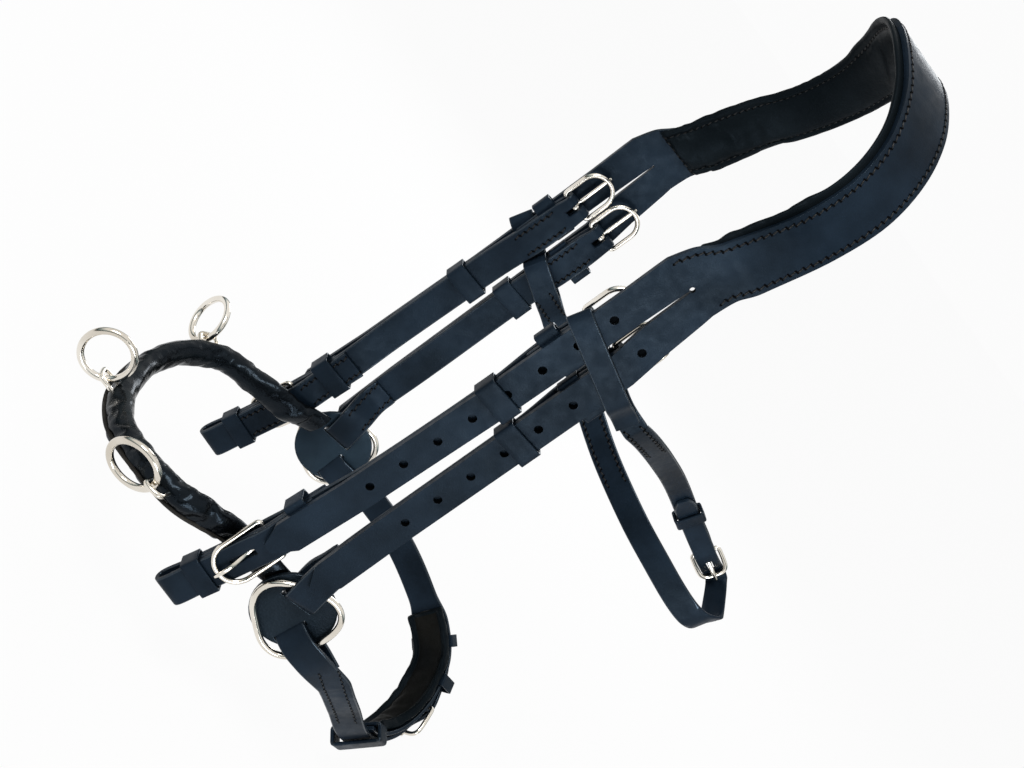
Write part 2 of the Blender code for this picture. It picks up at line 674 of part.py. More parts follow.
# Routes are drawn for one half span, and their sides move with it
def widen(y):
    return y + math.copysign(side_share(y), y) * (HALF_SPAN - DRAWN_HALF_SPAN)


def widened(route):
    return [Vector((x, widen(y), z)) for x, y, z in route]


def nose_line():
    points = []
    for x, y, z in NOSE_HALF:
        points.append(Vector((x + SHIFT["near"] * side_share(y), -widen(y), z)))
    for x, y, z in reversed(NOSE_HALF[:-1]):
        points.append(Vector((x + SHIFT["far"] * side_share(y) + table(FAR_MOVE, x),
                              widen(y) - table(FAR_IN, x), z + table(FAR_RISE, x))))
    return points


def roll_size(x):
    depths = [(-60, ROLL_DEPTH / 2), (-42, 7.8), (-24, 5.8), (-8, 4.2), (8, 3.4), (20, 3.0)]
    heights = [(-60, ROLL_HEIGHT / 2), (-24, 11.0), (-8, 10.8), (8, 10.2), (20, 9.0)]
    return table(depths, x), table(heights, x)


def roll_frames():
    points = smooth(nose_line(), 2)
    up = Vector((0.13, 0, 0.99)).normalized()
    frames = stations(points, up)
    fixed = []
    for place, side, normal, mitre in frames:
        outward = Vector((place.x + 40.0, place.y * 1.3, 0.0))
        if normal.dot(outward) < 0:
            normal = -normal
        fixed.append((place, up, normal))
    return fixed


def roll_ring(frame, inset, ridge, count=10):
    place, up, outward = frame
    depth, height = roll_size(place.x)
    points = []
    for step in range(count):
        turn = math.tau * step / count
        a = (height - inset) * math.sin(turn)
        b = (depth - inset) * math.cos(turn)
        if ridge and step == count - 1:
            a *= 1.10
            b += 1.4 * depth / (ROLL_DEPTH / 2)
        points.append(place + up * a + outward * b)
    return points


def core_ring(frame, width, thick):
    place, up, outward = frame
    w = width / 2
    t = thick / 2
    return [place + up * a + outward * b for a, b in ((w, t), (w, -t), (-w, -t), (-w, t))]


def staple_frames():
    frames = roll_frames()
    picks = {"near": 12, "mid": len(frames) // 2, "far": len(frames) - 13}
    found = {}
    for name, i in picks.items():
        place, up, outward = frames[i]
        tangent = (frames[i + 1][0] - frames[i - 1][0]).normalized()
        outward = tangent.cross(up).normalized()
        if outward.dot(frames[i][2]) < 0:
            outward = -outward
        found[name] = (place, up, outward, tangent)
    return found


def make_nose():
    frames = roll_frames()
    outer = [roll_ring(frame, 0.0, True) for frame in frames]
    inner = [roll_ring(frame, COVER_THICK, False) for frame in reversed(frames)]
    cover = loft("nose_cover", outer + inner, "cover", closed=True, sharp=70.0)
    body = frames[4:-4]
    skin = [roll_ring(frame, COVER_THICK + GAP, False) for frame in body]
    bore = []
    for frame in reversed(body):
        place, up, outward = frame
        w = CORE_WIDTH / 2 + GAP
        t = CORE_THICK / 2 + GAP
        bore.append([place + up * a + outward * b for a, b in
                     ((0, t), (w / 2, t), (w, t), (w, -t), (w / 2, -t),
                      (0, -t), (-w / 2, -t), (-w, -t), (-w, t), (-w / 2, t))])
    filling = loft("nose_padding", skin + bore, "foam", closed=True, sharp=70.0)
    core = loft("nose_core", [core_ring(frame, CORE_WIDTH, CORE_THICK) for frame in frames[5:-5]], "steel")
    pegs = []
    for name, (place, up, outward, tangent) in staple_frames().items():
        for way in (-1, 1):
            centre = place + tangent * (way * STAPLE_SPREAD / 2) + outward * 5.0
            pegs.append((centre, outward, STAPLE_WIRE + 0.7, 17.0))
    holes = cutter("staple_holes", pegs=pegs)
    for obj in (cover, filling, core):
        cut(obj, holes)


def make_staples():
    reach = ROLL_DEPTH / 2 + STAPLE_REACH
    bend = 3.6
    half = STAPLE_SPREAD / 2
    lies = {"near": (-0.975, 0.20, 0.0, -0.10, -0.38, 0.90), "mid": (-0.50, 0.0, 0.866, 0.866, 0.0, 0.50),
            "far": (-0.36, 0.88, 0.31, 0.12, -0.29, 0.95)}
    for name, (place, up, outward, tangent) in staple_frames().items():
        rows = [(-half, -1.6), (-half, 6.0)]
        for angle in (180, 150, 120, 90):
            turn = math.radians(angle)
            rows.append((-half + bend + bend * math.cos(turn), reach - bend + bend * math.sin(turn)))
        rows += [(-a, b) for a, b in reversed(rows)]
        points = [place + tangent * a + outward * b for a, b in rows]
        wire(name + "_nose_staple", points, STAPLE_WIRE / 2, closed=False)
        toward = Vector(lies[name][:3]).normalized()
        second = Vector(lies[name][3:])
        second = (second - toward * second.dot(toward)).normalized()
        hang = NOSE_RING_WIDTH / 2 - NOSE_RING_WIRE - STAPLE_WIRE / 2 - GAP
        pivot = place + outward * reach
        if name == "near":
            pivot = place + outward * (reach - 5.2) + tangent * (half if tangent.x < 0 else -half)
        centre = pivot + toward * hang
        radius = NOSE_RING_WIDTH / 2 - NOSE_RING_WIRE / 2
        ring_points = []
        for step in range(20):
            turn = math.tau * step / 20
            ring_points.append(centre + toward * (radius * math.cos(turn)) + second * (radius * math.sin(turn)))
        ring = wire(name + "_nose_ring", ring_points, NOSE_RING_WIRE / 2)
        move_origin(ring, pivot)


# A path with its own side and outward directions, for the throat and chin straps
class Rail:
    def __init__(self, points, across, inside, steps=6):
        self.path = smooth(points, steps)
        self.across = Vector(across).normalized()
        self.inside = Vector(inside)
        self.lengths = [0.0]
        for a, b in zip(self.path, self.path[1:]):
            self.lengths.append(self.lengths[-1] + (b - a).length)
        self.total = self.lengths[-1]

    def place(self, s):
        return Vector([float(np.interp(s, self.lengths, [p[k] for p in self.path])) for k in range(3)])

    def axes(self, s):
        along = (self.place(s + 3) - self.place(s - 3)).normalized()
        out = along.cross(self.across).normalized()
        if out.dot(self.place(s) - self.inside) < 0:
            out = -out
        side = along.cross(out).normalized()
        if side.dot(self.across) < 0:
            side = -side
        return along, side, out

    def at(self, s, c=0.0):
        return self.place(s) + self.axes(s)[2] * c

    # the straight line between two shared stations
    def chord(self, s, step):
        k = math.floor(s / step + 1e-6)
        share = s / step - k
        return self.place(k * step) * (1 - share) + self.place((k + 1) * step) * share

    # a strap sampled at shared stations, so that neighbours bend alike
    def run(self, profile, start, end, step):
        marks = [start]
        k = math.floor(start / step) + 1
        while k * step < end - 0.5:
            if k * step > start + 0.5:
                marks.append(k * step)
            k += 1
        marks.append(end)
        return [self.at(s, table(profile, s)) for s in marks]


def blend_refs(count, first, last, lead):
    refs = []
    for i in range(count):
        share = min(max((i - lead + 1) / 4.0, 0.0), 1.0)
        refs.append((first * (1 - share) + last * share).normalized())
    return refs


# Throatlatch
def throat_loop(side, level, fall):
    out = BILLET_N + BILLET_THICK / 2 + GAP + KEEPER_THICK / 2 + 0.4
    inner = CHEEK_THICK / 2 + GAP + KEEPER_THICK / 2
    behind = -2 * FOLD_RADIUS - CHEEK_THICK / 2 - GAP - KEEPER_THICK / 2 - 0.4
    left = table(FRONT_LINE, level) - STRAP_WIDTH / 2
    right = table(BACK_LINE, level) + STRAP_WIDTH / 2
    middle = (left + right) / 2
    rows = [(right + 24, 0.0), (right + 18, 0.7), (right + 12.5, 3.0), (right + 7.5, out - 0.6), (right + 2, out),
            (middle, out), (left - 1.8, out), (left - 4.0, out - 1.5), (left - 4.5, (out + inner) / 2),
            (left - 3.2, inner + 0.8), (left - 1.4, inner), (middle - 2.4, inner), (middle - 0.6, inner - 1.4),
            (middle - 0.3, inner - 4.5), (middle - 0.5, behind + 4.2), (middle + 0.3, behind + 1.4),
            (middle + 3.5, behind), (right - 2, behind), (right + 5, behind + 1.6), (right + 14, -3.4),
            (right + 24, -3.0)]
    return [on_side(side, x, n, level - fall * x) for x, n in rows]


THROAT_LEG = [(82, 89.5, -289), (101, 84, -297), (122, 68, -304), (143, 49, -310), (165, 31, -314),
              (187, 14, -317), (208, 2, -319), (232, -7, -322), (252, -12, -323), (264, -10, -320),
              (270.5, -3, -315)]
THROAT_RETURN = [(80, -87, -246), (101, -72, -250), (122, -52, -256), (145, -31, -263), (168, -12, -271),
                 (190, 2, -279), (212, 11, -286), (236, 16, -293)]


def make_throat():
    ref = Vector((0.25, 0, 0.97)).normalized()
    far_loop = throat_loop("far", -262.5, 0.38)
    near_loop = throat_loop("near", -228.0, 0.29)
    rail = Rail([near_loop[-1]] + widened(THROAT_RETURN), ref, (120, 40, -290))
    heel_s = rail.total - 3.0
    along, w, c = rail.axes(heel_s)
    u = along
    heel = rail.place(heel_s)
    half_ply = (THROAT_THICK + GAP) / 2
    fold = WIRE + GAP + THROAT_THICK / 2

    def local(a, b):
        return heel + u * a + c * b

    bend = []
    for angle in range(-90, 91, 30):
        turn = math.radians(angle)
        bend.append(local(fold * math.cos(turn), fold * math.sin(turn)))
    leg_profile = [(0, 0.0), (20, -half_ply), (heel_s - 9, -half_ply), (heel_s - 3, -fold + 0.3)]
    leg = rail.run(leg_profile, 8.0, heel_s - 4.0, 9.0)
    back_profile = [(heel_s - 9, half_ply), (heel_s - 3, fold - 0.3)]
    back = list(reversed(rail.run(back_profile, heel_s - 18.0, heel_s - 4.0, 9.0)))
    points = near_loop[:-1] + leg + bend + back
    loops = len(near_loop) - 1
    narrow = len(bend) + len(back) + 1
    widths = [THROAT_NEAR_WIDTH - 1] * loops + [THROAT_NEAR_WIDTH] * (len(points) - loops - narrow)
    widths += [THROAT_NEAR_WIDTH - 1.5] * narrow
    thicks = [KEEPER_THICK] * loops + [THROAT_THICK] * (len(points) - loops)
    strap = ribbon("throat_near_strap", points, widths, thicks, ref)
    slot = (local(0.0, 0.0), (w, c, u), (PRONG_WIDTH + 1.6, 14.0, 13.0))
    cut(strap, cutter("throat_chape_slot", boxes=[slot]))
    ply = THROAT_THICK + GAP
    billet_profile = [(heel_s - 34, half_ply), (heel_s - 22, half_ply + ply),
                      (heel_s - 11, half_ply + ply + 0.2), (heel_s - 3, fold + ply - 0.2)]
    billet = list(reversed(rail.run(billet_profile, heel_s - 66.0, heel_s - 4.0, 9.0)))
    bridge = [local(32.0, -2.6), local(25.0, -2.0), local(20.0, -0.6), local(13.0, 2.8),
              local(6.0, fold + 2.0), local(0.0, fold + ply + 0.1)]
    long_leg = smooth([far_loop[-1]] + widened(THROAT_LEG), 2)
    points = far_loop[:-1] + long_leg + bridge + billet
    loops = len(far_loop) - 1
    last = len(bridge) + len(billet)
    widths = [THROAT_WIDTH - 2] * loops + [THROAT_WIDTH] * (len(points) - loops - last)
    widths += [THROAT_NEAR_WIDTH - 0.6] * (last - 1) + [8.0]
    thicks = [KEEPER_THICK] * loops + [THROAT_THICK] * (len(points) - loops)
    long_strap = ribbon("throat_strap", points, widths, thicks, ref)
    hole = (local(11.5, 3.0), (w, c, u), (PRONG_WIDTH + 1.6, 10.0, 13.6))
    cut(long_strap, cutter("throat_hole", boxes=[hole]))
    rise = -0.6 + THROAT_THICK / 2 + GAP + WIRE + 0.5
    tip = rise + WIRE + GAP + 0.9
    shank = [(4.5, EYE_RADIUS + 0.1), (8.0, 3.0), (15.0, tip + 0.3), (19.0, tip), (24.5, tip)]
    buckle("throat", heel, u, w, c, 23.5, 22.0, rise, shank)
    along, w, c = rail.axes(heel_s - 40.0)
    keeper("throat_keeper", rail.at(heel_s - 40.0, 0.0), w, c, THROAT_NEAR_WIDTH + 1.6,
           2 * ply + 2 * GAP + 0.6, 10.0)


# Chin strap
CHIN_RUN = [(100, -88, -509), (125, -74, -525), (155, -52, -545), (180, -33, -555), (197, -12, -550),
            (204, 12, -532), (199, 36, -512), (182, 52, -500), (160, 63, -492), (130, 76, -484.5),
            (96, 88, -480)]
CHIN_ACROSS = (0.36, -0.18, 0.915)
CHIN_STEP = 7.0


# from the inner ply's end, through the disc's slot, over the ring and out
def ring_end(side):
    x, z = CHIN_SLOT
    fall = 1.0 / math.tan(math.radians(CHIN_SLOT_TURN[side]))
    rows = [(38.0, 1.4 - PLY), (31.0, LAP_N + 4.4), (24.0, LAP_N + 1.0), (16.0, LAP_N), (4.0, LAP_N),
            (1.0, LAP_N + 0.9), (-0.8, DISC_N - 1.4), (-1.0, DISC_N), (-0.5, DISC_N + 1.7),
            (2.0, -2.2), (7.0, 0.8), (12.0, CHEEK_N), (22.0, CHEEK_N), (30.0, CHEEK_N - 0.4)]
    return [on_join(side, x + a, n, z - fall * a) for a, n in rows]


def slot_axis(side):
    turn = math.radians(CHIN_SLOT_TURN[side])
    return Vector((math.cos(turn), 0, math.sin(turn)))


def make_chin():
    rail = Rail(widened(CHIN_RUN), CHIN_ACROSS, (110, 0, -500))
    pad_end = 238.0
    loop_s = 95.0
    heel_s = 168.0
    chape_thick = 2.0
    lap = CHEEK_THICK + GAP + 0.45
    fold = WIRE + GAP + chape_thick / 2
    inner_leg = CHEEK_THICK / 2 + GAP + chape_thick / 2 + 0.2
    bar_c = inner_leg + fold
    top_leg = bar_c + fold
    low_leg = inner_leg + chape_thick + GAP
    over_leg = low_leg + chape_thick / 2 + GAP + CHEEK_THICK / 2 + 0.5
    billet_top = top_leg + chape_thick / 2 + GAP + CHEEK_THICK / 2 + 0.5
    near_lead = ring_end("near")
    far_lead = ring_end("far")
    profile = [(4, 0.0), (50, 0.0), (74, lap), (heel_s - 26, lap), (heel_s - 19, lap + 0.7),
               (heel_s - 8, billet_top - 1.6),
               (heel_s - 2, billet_top), (heel_s + 3, billet_top), (heel_s + 14, over_leg + 1.1),
               (heel_s + 28, over_leg + 1.1), (heel_s + 38, lap)]
    body = rail.run(profile, 4.0, heel_s + 56.0, CHIN_STEP)
    points = near_lead + body
    slim = sum(1 for s in np.arange(heel_s - 28.0, heel_s + 56.0, CHIN_STEP))
    widths = [STRAP_WIDTH] * (len(points) - slim) + [STRAP_WIDTH - 2.0] * (slim - 1) + [9.0]
    refs = blend_refs(len(points), slot_axis("near"), rail.across, len(near_lead))
    strap = ribbon("chin_strap", points, widths, CHEEK_THICK, refs)
    along, side, out = rail.axes(heel_s)
    toward = -along
    heel = rail.at(heel_s, bar_c)
    hole = (heel + toward * 9.2 + out * (lap + 3.4 - bar_c), (side, out, along),
            (PRONG_WIDTH + 1.6, 12.0, 14.5))
    cut(strap, cutter("chin_hole", boxes=[hole]))
    outer_bar = rail.at(heel_s - 22.0, lap + CHEEK_THICK / 2 + GAP + WIRE + 2.6)
    rise = (outer_bar - heel).dot(out)
    length = (outer_bar - heel).dot(toward)
    tip = rise + WIRE + GAP + 0.9
    shank = [(4.5, EYE_RADIUS + 0.3), (8.0, 3.4), (14.5, tip + 1.2), (length - 2.0, tip), (length + 2.4, tip)]
    buckle("chin", heel, toward, side, out, BIT_FRAME_WIDTH, length, rise, shank)
    chape = list(reversed(rail.run([(0, inner_leg)], heel_s + 4.0, heel_s + 24.0, CHIN_STEP)))
    for angle in range(-90, 91, 30):
        turn = math.radians(angle)
        chape.append(heel + toward * (fold * math.cos(turn)) + out * (fold * math.sin(turn)))
    chape += rail.run([(heel_s + 4, top_leg - 0.7), (heel_s + 12, low_leg)], heel_s + 4.0, heel_s + 24.0,
                      CHIN_STEP)
    refs = [rail.across] * 4 + [side] * (len(chape) - 8) + [rail.across] * 4
    piece = ribbon("chin_chape", chape, STRAP_WIDTH - 3, chape_thick, refs)
    cut(piece, cutter("chin_chape_slot", boxes=[(heel, (side, out, along), (PRONG_WIDTH + 1.6, 17.0, 13.3))]))
    body = rail.run([(0, 0.0)], loop_s - 11.0, rail.total - 4.0, CHIN_STEP)
    points = body + list(reversed(far_lead))
    wide = sum(1 for s in np.arange(loop_s - 11.0, pad_end, CHIN_STEP))
    widths = [CHIN_PAD_WIDTH] * wide + [CHIN_PAD_WIDTH - 3] + [STRAP_WIDTH] * (len(points) - wide - 1)
    refs = list(reversed(blend_refs(len(points), slot_axis("far"), rail.across, len(far_lead))))
    ribbon("chin_pad_leather", points, widths, CHEEK_THICK, refs)
    low = -CHEEK_THICK / 2 - GAP - 0.5
    bumps = {"chin_keeper_a": (heel_s + 19.0, over_leg + 1.1), "chin_keeper_b": (heel_s + 45.0, lap)}
    for name, (s, billet) in bumps.items():
        along, side, out = rail.axes(s)
        high = billet + CHEEK_THICK / 2 + GAP + 0.5
        keeper(name, rail.at(s, (low + high) / 2), side, out, CHIN_PAD_WIDTH + 1.6, high - low, 9.0)
    along, side, out = rail.axes(loop_s)
    high = lap + CHEEK_THICK / 2 + GAP + 0.8
    low -= 0.6
    keeper("chin_end_loop", rail.at(loop_s, (low + high) / 2), side, out, CHIN_PAD_WIDTH + 4.0, high - low,
           14.0, 2.6)
    rings = []
    start = 108.0
    base = -CHEEK_THICK / 2 - GAP
    marks = [start, start + 2.0]
    marks += [s for s in np.arange(CHIN_STEP * 16, pad_end - 3.0, CHIN_STEP / 2)]
    marks += [pad_end - 2.0, pad_end]
    last = len(marks) - 1
    for i, s in enumerate(marks):
        along, side, out = rail.axes(s)
        hidden = min(abs(s - b[0]) for b in bumps.values()) < 7.8
        groove = KEEPER_THICK + GAP + 0.9 if hidden else 0.15
        fade = (0.35, 0.7, 0.95)[min(i, last - i)] if min(i, last - i) < 3 else 1.0
        depth = CHIN_PAD_THICK * fade
        half = CHIN_PAD_WIDTH / 2 + 0.5
        outline = [(-half * 0.9, groove), (half * 0.9, groove), (half, max(depth * 0.3, groove + 0.3)),
                   (half * 0.93, depth * 0.72), (half * 0.55, depth * 0.98), (0.0, depth * 1.02),
                   (-half * 0.55, depth * 0.98), (-half * 0.93, depth * 0.72),
                   (-half, max(depth * 0.3, groove + 0.3))]
        place = rail.chord(s, CHIN_STEP)
        rings.append([place + side * a + out * (base - b) for a, b in outline])
    loft("chin_pad_padding", rings, "lining", sharp=60.0)


make_crown()
make_crown_padding()
for side_name in SIDES:
    make_bit_cheekpiece(side_name)
    make_cavesson_cheekpiece(side_name)
    make_bit_strap(side_name)
    make_side_buckles(side_name)
    make_side_keepers(side_name)
    make_joining(side_name)
make_nose()
make_staples()
make_throat()
make_chin()
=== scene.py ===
# Cavesson bridle: what is seen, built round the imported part.
import json
import math

import bmesh
import bpy
import numpy as np
from mathutils import Matrix, Vector, noise
from mathutils.bvhtree import BVHTree

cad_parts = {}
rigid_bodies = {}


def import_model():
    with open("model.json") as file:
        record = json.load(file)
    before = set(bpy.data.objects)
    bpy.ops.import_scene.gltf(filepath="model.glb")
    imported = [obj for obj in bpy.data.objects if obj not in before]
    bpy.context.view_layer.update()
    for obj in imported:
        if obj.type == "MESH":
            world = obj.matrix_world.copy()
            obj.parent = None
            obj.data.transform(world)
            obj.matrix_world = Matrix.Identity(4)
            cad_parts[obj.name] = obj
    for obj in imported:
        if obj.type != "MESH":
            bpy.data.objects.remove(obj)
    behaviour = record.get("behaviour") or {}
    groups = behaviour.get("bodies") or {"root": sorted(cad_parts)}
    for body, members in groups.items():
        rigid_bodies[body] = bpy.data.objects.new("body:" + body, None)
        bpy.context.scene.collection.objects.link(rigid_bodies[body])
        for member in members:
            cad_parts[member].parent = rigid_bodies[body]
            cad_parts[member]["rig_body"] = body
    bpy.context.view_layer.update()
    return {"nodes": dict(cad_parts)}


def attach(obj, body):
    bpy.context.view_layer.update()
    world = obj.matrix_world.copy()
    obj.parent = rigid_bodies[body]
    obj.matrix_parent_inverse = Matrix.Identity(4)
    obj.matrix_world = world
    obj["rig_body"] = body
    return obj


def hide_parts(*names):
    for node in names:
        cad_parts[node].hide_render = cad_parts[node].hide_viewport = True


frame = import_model()
nodes = frame["nodes"]
scene = bpy.context.scene
MM = 0.001

# Camera, lamps and pale floor.
# The camera stands where the photograph was taken from, rolled over by about fifty degrees.
# The room is plain and pale, and only what shines sees its darker bands.
SENSOR = 36.0
LENS = 53.47
NEAREST = 0.02
EYE = Vector((-0.3279, -0.8744, -0.042))
BACK = Vector((-0.3715, -0.8874, 0.2729)).normalized()
RIGHT = Vector((0.6187, -0.0175, 0.7854))
RIGHT = (RIGHT - BACK * RIGHT.dot(BACK)).normalized()
UP = BACK.cross(RIGHT)
view = bpy.data.cameras.new("camera")
view.sensor_width = SENSOR
view.lens = LENS
view.clip_start = NEAREST
camera = bpy.data.objects.new("camera", view)
scene.collection.objects.link(camera)
camera.matrix_world = Matrix.Translation(EYE) @ Matrix((RIGHT, UP, BACK)).transposed().to_4x4()
scene.camera = camera
scene.view_settings.view_transform = "Standard"

WARM = (1.0, 0.985, 0.96)
COOL = (0.93, 0.97, 1.0)
NEUTRAL = (0.96, 0.98, 1.0)


def add_lamp(name, place, aim, size, power, tint):
    data = bpy.data.lights.new(name, "AREA")
    data.shape = "DISK"
    data.size = size
    data.energy = power
    data.color = tint
    lamp = bpy.data.objects.new(name, data)
    scene.collection.objects.link(lamp)
    turn = (Vector(aim) - Vector(place)).to_track_quat("-Z", "Y")
    lamp.matrix_world = Matrix.Translation(Vector(place)) @ turn.to_matrix().to_4x4()


add_lamp("lamp_above", (-0.9, -0.9, 0.9), (0.0, 0.0, -0.3), size=0.7, power=16.0, tint=WARM)
add_lamp("lamp_low", (0.5, -1.2, -0.55), (0.1, 0.0, -0.45), size=0.6, power=9.0, tint=COOL)
add_lamp("lamp_back", (0.5, 1.4, 0.35), (0.05, 0.0, -0.3), size=0.8, power=9.0, tint=NEUTRAL)


# Rays that look at the room, and aren't lit by it: the camera's own, mirrored and passed ones
def seen_rays(tree):
    path = tree.nodes.new("ShaderNodeLightPath")
    rays = path.outputs["Is Camera Ray"]
    for kind in ("Is Glossy Ray", "Is Transmission Ray"):
        either = tree.nodes.new("ShaderNodeMath")
        either.operation = "MAXIMUM"
        tree.links.new(rays, either.inputs[0])
        tree.links.new(path.outputs[kind], either.inputs[1])
        rays = either.outputs[0]
    return path, rays


def colour_bands(tree, value, bands):
    ramp = tree.nodes.new("ShaderNodeValToRGB")
    stops = ramp.color_ramp.elements
    for stop, (position, colour) in zip((stops[0], stops[1]), (bands[0], bands[-1])):
        stop.position = position
        stop.color = (*colour, 1.0)
    for position, colour in bands[1:-1]:
        stops.new(position).color = (*colour, 1.0)
    tree.links.new(value, ramp.inputs["Fac"])
    return ramp.outputs["Color"]


ROOM_LIGHT = 0.36
BACKGROUND = (0.968, 0.968, 0.968)
# From the ground over the horizon to the sky
SHINE_BANDS = [(0.0, (0.62, 0.60, 0.56)), (0.36, (0.50, 0.40, 0.29)), (0.47, (0.16, 0.11, 0.07)),
               (0.56, (0.05, 0.08, 0.09)), (0.64, (0.34, 0.42, 0.44)), (0.74, (1.0, 0.99, 0.97)),
               (1.0, (1.0, 1.0, 1.0))]
world = bpy.data.worlds.new("room")
scene.world = world
world.use_nodes = True
tree = world.node_tree
tree.nodes.clear()
link = tree.links.new
world_out = tree.nodes.new("ShaderNodeOutputWorld")
lit_or_seen = tree.nodes.new("ShaderNodeMixShader")
room = tree.nodes.new("ShaderNodeBackground")
room.inputs["Color"].default_value = (1.0, 1.0, 1.0, 1.0)
room.inputs["Strength"].default_value = ROOM_LIGHT
seen = tree.nodes.new("ShaderNodeBackground")
light_path, rays = seen_rays(tree)
sky = tree.nodes.new("ShaderNodeTexCoord")
split = tree.nodes.new("ShaderNodeSeparateXYZ")
link(sky.outputs["Generated"], split.inputs[0])
height = tree.nodes.new("ShaderNodeMapRange")
height.inputs["From Min"].default_value = -1.0
link(split.outputs["Z"], height.inputs["Value"])
camera_or_shine = tree.nodes.new("ShaderNodeMix")
camera_or_shine.data_type = "RGBA"
shine_in, camera_in = [s for s in camera_or_shine.inputs if s.type == "RGBA"]
camera_in.default_value = (*BACKGROUND, 1.0)
link(light_path.outputs["Is Camera Ray"], camera_or_shine.inputs["Factor"])
link(colour_bands(tree, height.outputs[0], SHINE_BANDS), shine_in)
link([s for s in camera_or_shine.outputs if s.type == "RGBA"][0], seen.inputs["Color"])
link(rays, lit_or_seen.inputs[0])
link(room.outputs[0], lit_or_seen.inputs[1])
link(seen.outputs[0], lit_or_seen.inputs[2])
link(lit_or_seen.outputs[0], world_out.inputs["Surface"])

FLOOR_LEVEL = -0.60
FLOOR_HALF = 30.0
FLOOR_COLOUR = (0.93, 0.93, 0.93)
FLOOR_GLOW = 0.94
corners = [(-FLOOR_HALF, -FLOOR_HALF), (FLOOR_HALF, -FLOOR_HALF), (FLOOR_HALF, FLOOR_HALF),
           (-FLOOR_HALF, FLOOR_HALF)]
floor_mesh = bpy.data.meshes.new("floor")
floor_mesh.from_pydata([(x, y, FLOOR_LEVEL) for x, y in corners], [], [(0, 1, 2, 3)])
floor = bpy.data.objects.new("floor", floor_mesh)
scene.collection.objects.link(floor)
pale = bpy.data.materials.new("pale_floor")
pale.use_nodes = True
tree = pale.node_tree
tree.nodes.clear()
link = tree.links.new
floor_out = tree.nodes.new("ShaderNodeOutputMaterial")
matt_or_glow = tree.nodes.new("ShaderNodeMixShader")
glow_share = tree.nodes.new("ShaderNodeMath")
glow_share.operation = "MULTIPLY"
glow_share.inputs[1].default_value = FLOOR_GLOW
matt = tree.nodes.new("ShaderNodeBsdfDiffuse")
matt.inputs["Color"].default_value = (*FLOOR_COLOUR, 1.0)
glow = tree.nodes.new("ShaderNodeEmission")
glow.inputs["Color"].default_value = (1.0, 1.0, 1.0, 1.0)
rays = seen_rays(tree)[1]
link(rays, glow_share.inputs[0])
link(glow_share.outputs[0], matt_or_glow.inputs[0])
link(matt.outputs[0], matt_or_glow.inputs[1])
link(glow.outputs[0], matt_or_glow.inputs[2])
link(matt_or_glow.outputs[0], floor_out.inputs["Surface"])
floor_mesh.materials.append(pale)

# Crown and its four billets: one piece of thick bridle leather, split at each side.
# It is cut from a sheet, punched, pricked and sewn to the lining, and its rims are burnished.
# The leather is dyed through and pressed smooth, with a fine grain and a slightly cloudy colour.
CLOUD_SCALE = 26.0
RUB_SCALE = 160.0
PORE_SCALE = 380.0
CRUMPLE_SCALE = 95.0
CLOUD_SPAN = (0.35, 0.68)
GRAIN_STRENGTH = 0.5
PORE_DEPTH = 1.5
PORE_STRENGTH = 0.35
CRUMPLE_STRENGTH = 0.6
SHEEN_ROUGH = 0.4
BLUE_SHINE = (0.58, 0.78, 1.0)


def add_noise(tree, scale, detail, place):
    cloud = tree.nodes.new("ShaderNodeTexNoise")
    cloud.inputs["Scale"].default_value = scale
    cloud.inputs["Detail"].default_value = detail
    tree.links.new(place, cloud.inputs["Vector"])
    return cloud.outputs["Fac"]


def spread(tree, value, low, high, start=0.3, end=0.7):
    node = tree.nodes.new("ShaderNodeMapRange")
    node.inputs["From Min"].default_value = start
    node.inputs["From Max"].default_value = end
    node.inputs["To Min"].default_value = low
    node.inputs["To Max"].default_value = high
    tree.links.new(value, node.inputs["Value"])
    return node.outputs[0]


def two_tones(tree, value, first, second):
    return colour_bands(tree, value, [(CLOUD_SPAN[0], first), (CLOUD_SPAN[1], second)])


def bump(tree, value, depth, strength, before=None):
    node = tree.nodes.new("ShaderNodeBump")
    node.inputs["Distance"].default_value = depth
    node.inputs["Strength"].default_value = strength
    tree.links.new(value, node.inputs["Height"])
    if before is not None:
        tree.links.new(before, node.inputs["Normal"])
    return node.outputs["Normal"]


def new_finish(name):
    material = bpy.data.materials.new(name)
    material.use_nodes = True
    tree = material.node_tree
    place = tree.nodes.new("ShaderNodeTexCoord").outputs["Object"]
    return material, tree, tree.nodes["Principled BSDF"], place


def leather(name, first, second, rough, grain=1500.0, depth=0.00010, crumple=0.0, shine=0.14,
            sheen=0.0):
    material, tree, shader, place = new_finish(name)
    link = tree.links.new
    cloud = add_noise(tree, CLOUD_SCALE, 6.0, place)
    link(two_tones(tree, cloud, first, second), shader.inputs["Base Color"])
    rub = add_noise(tree, RUB_SCALE, 4.0, place)
    link(spread(tree, rub, rough[0], rough[1]), shader.inputs["Roughness"])
    cells = tree.nodes.new("ShaderNodeTexVoronoi")
    cells.inputs["Scale"].default_value = grain
    cells.feature = "SMOOTH_F1"
    link(place, cells.inputs["Vector"])
    normal = bump(tree, cells.outputs["Distance"], depth, GRAIN_STRENGTH)
    pores = add_noise(tree, PORE_SCALE, 6.0, place)
    normal = bump(tree, pores, depth * PORE_DEPTH, PORE_STRENGTH, normal)
    if crumple:
        creases = add_noise(tree, CRUMPLE_SCALE, 3.0, place)
        normal = bump(tree, creases, crumple, CRUMPLE_STRENGTH, normal)
    link(normal, shader.inputs["Normal"])
    shader.inputs["Specular IOR Level"].default_value = shine
    shader.inputs["Specular Tint"].default_value = (*BLUE_SHINE, 1.0)
    if sheen:
        shader.inputs["Sheen Weight"].default_value = sheen
        shader.inputs["Sheen Roughness"].default_value = SHEEN_ROUGH
    return material


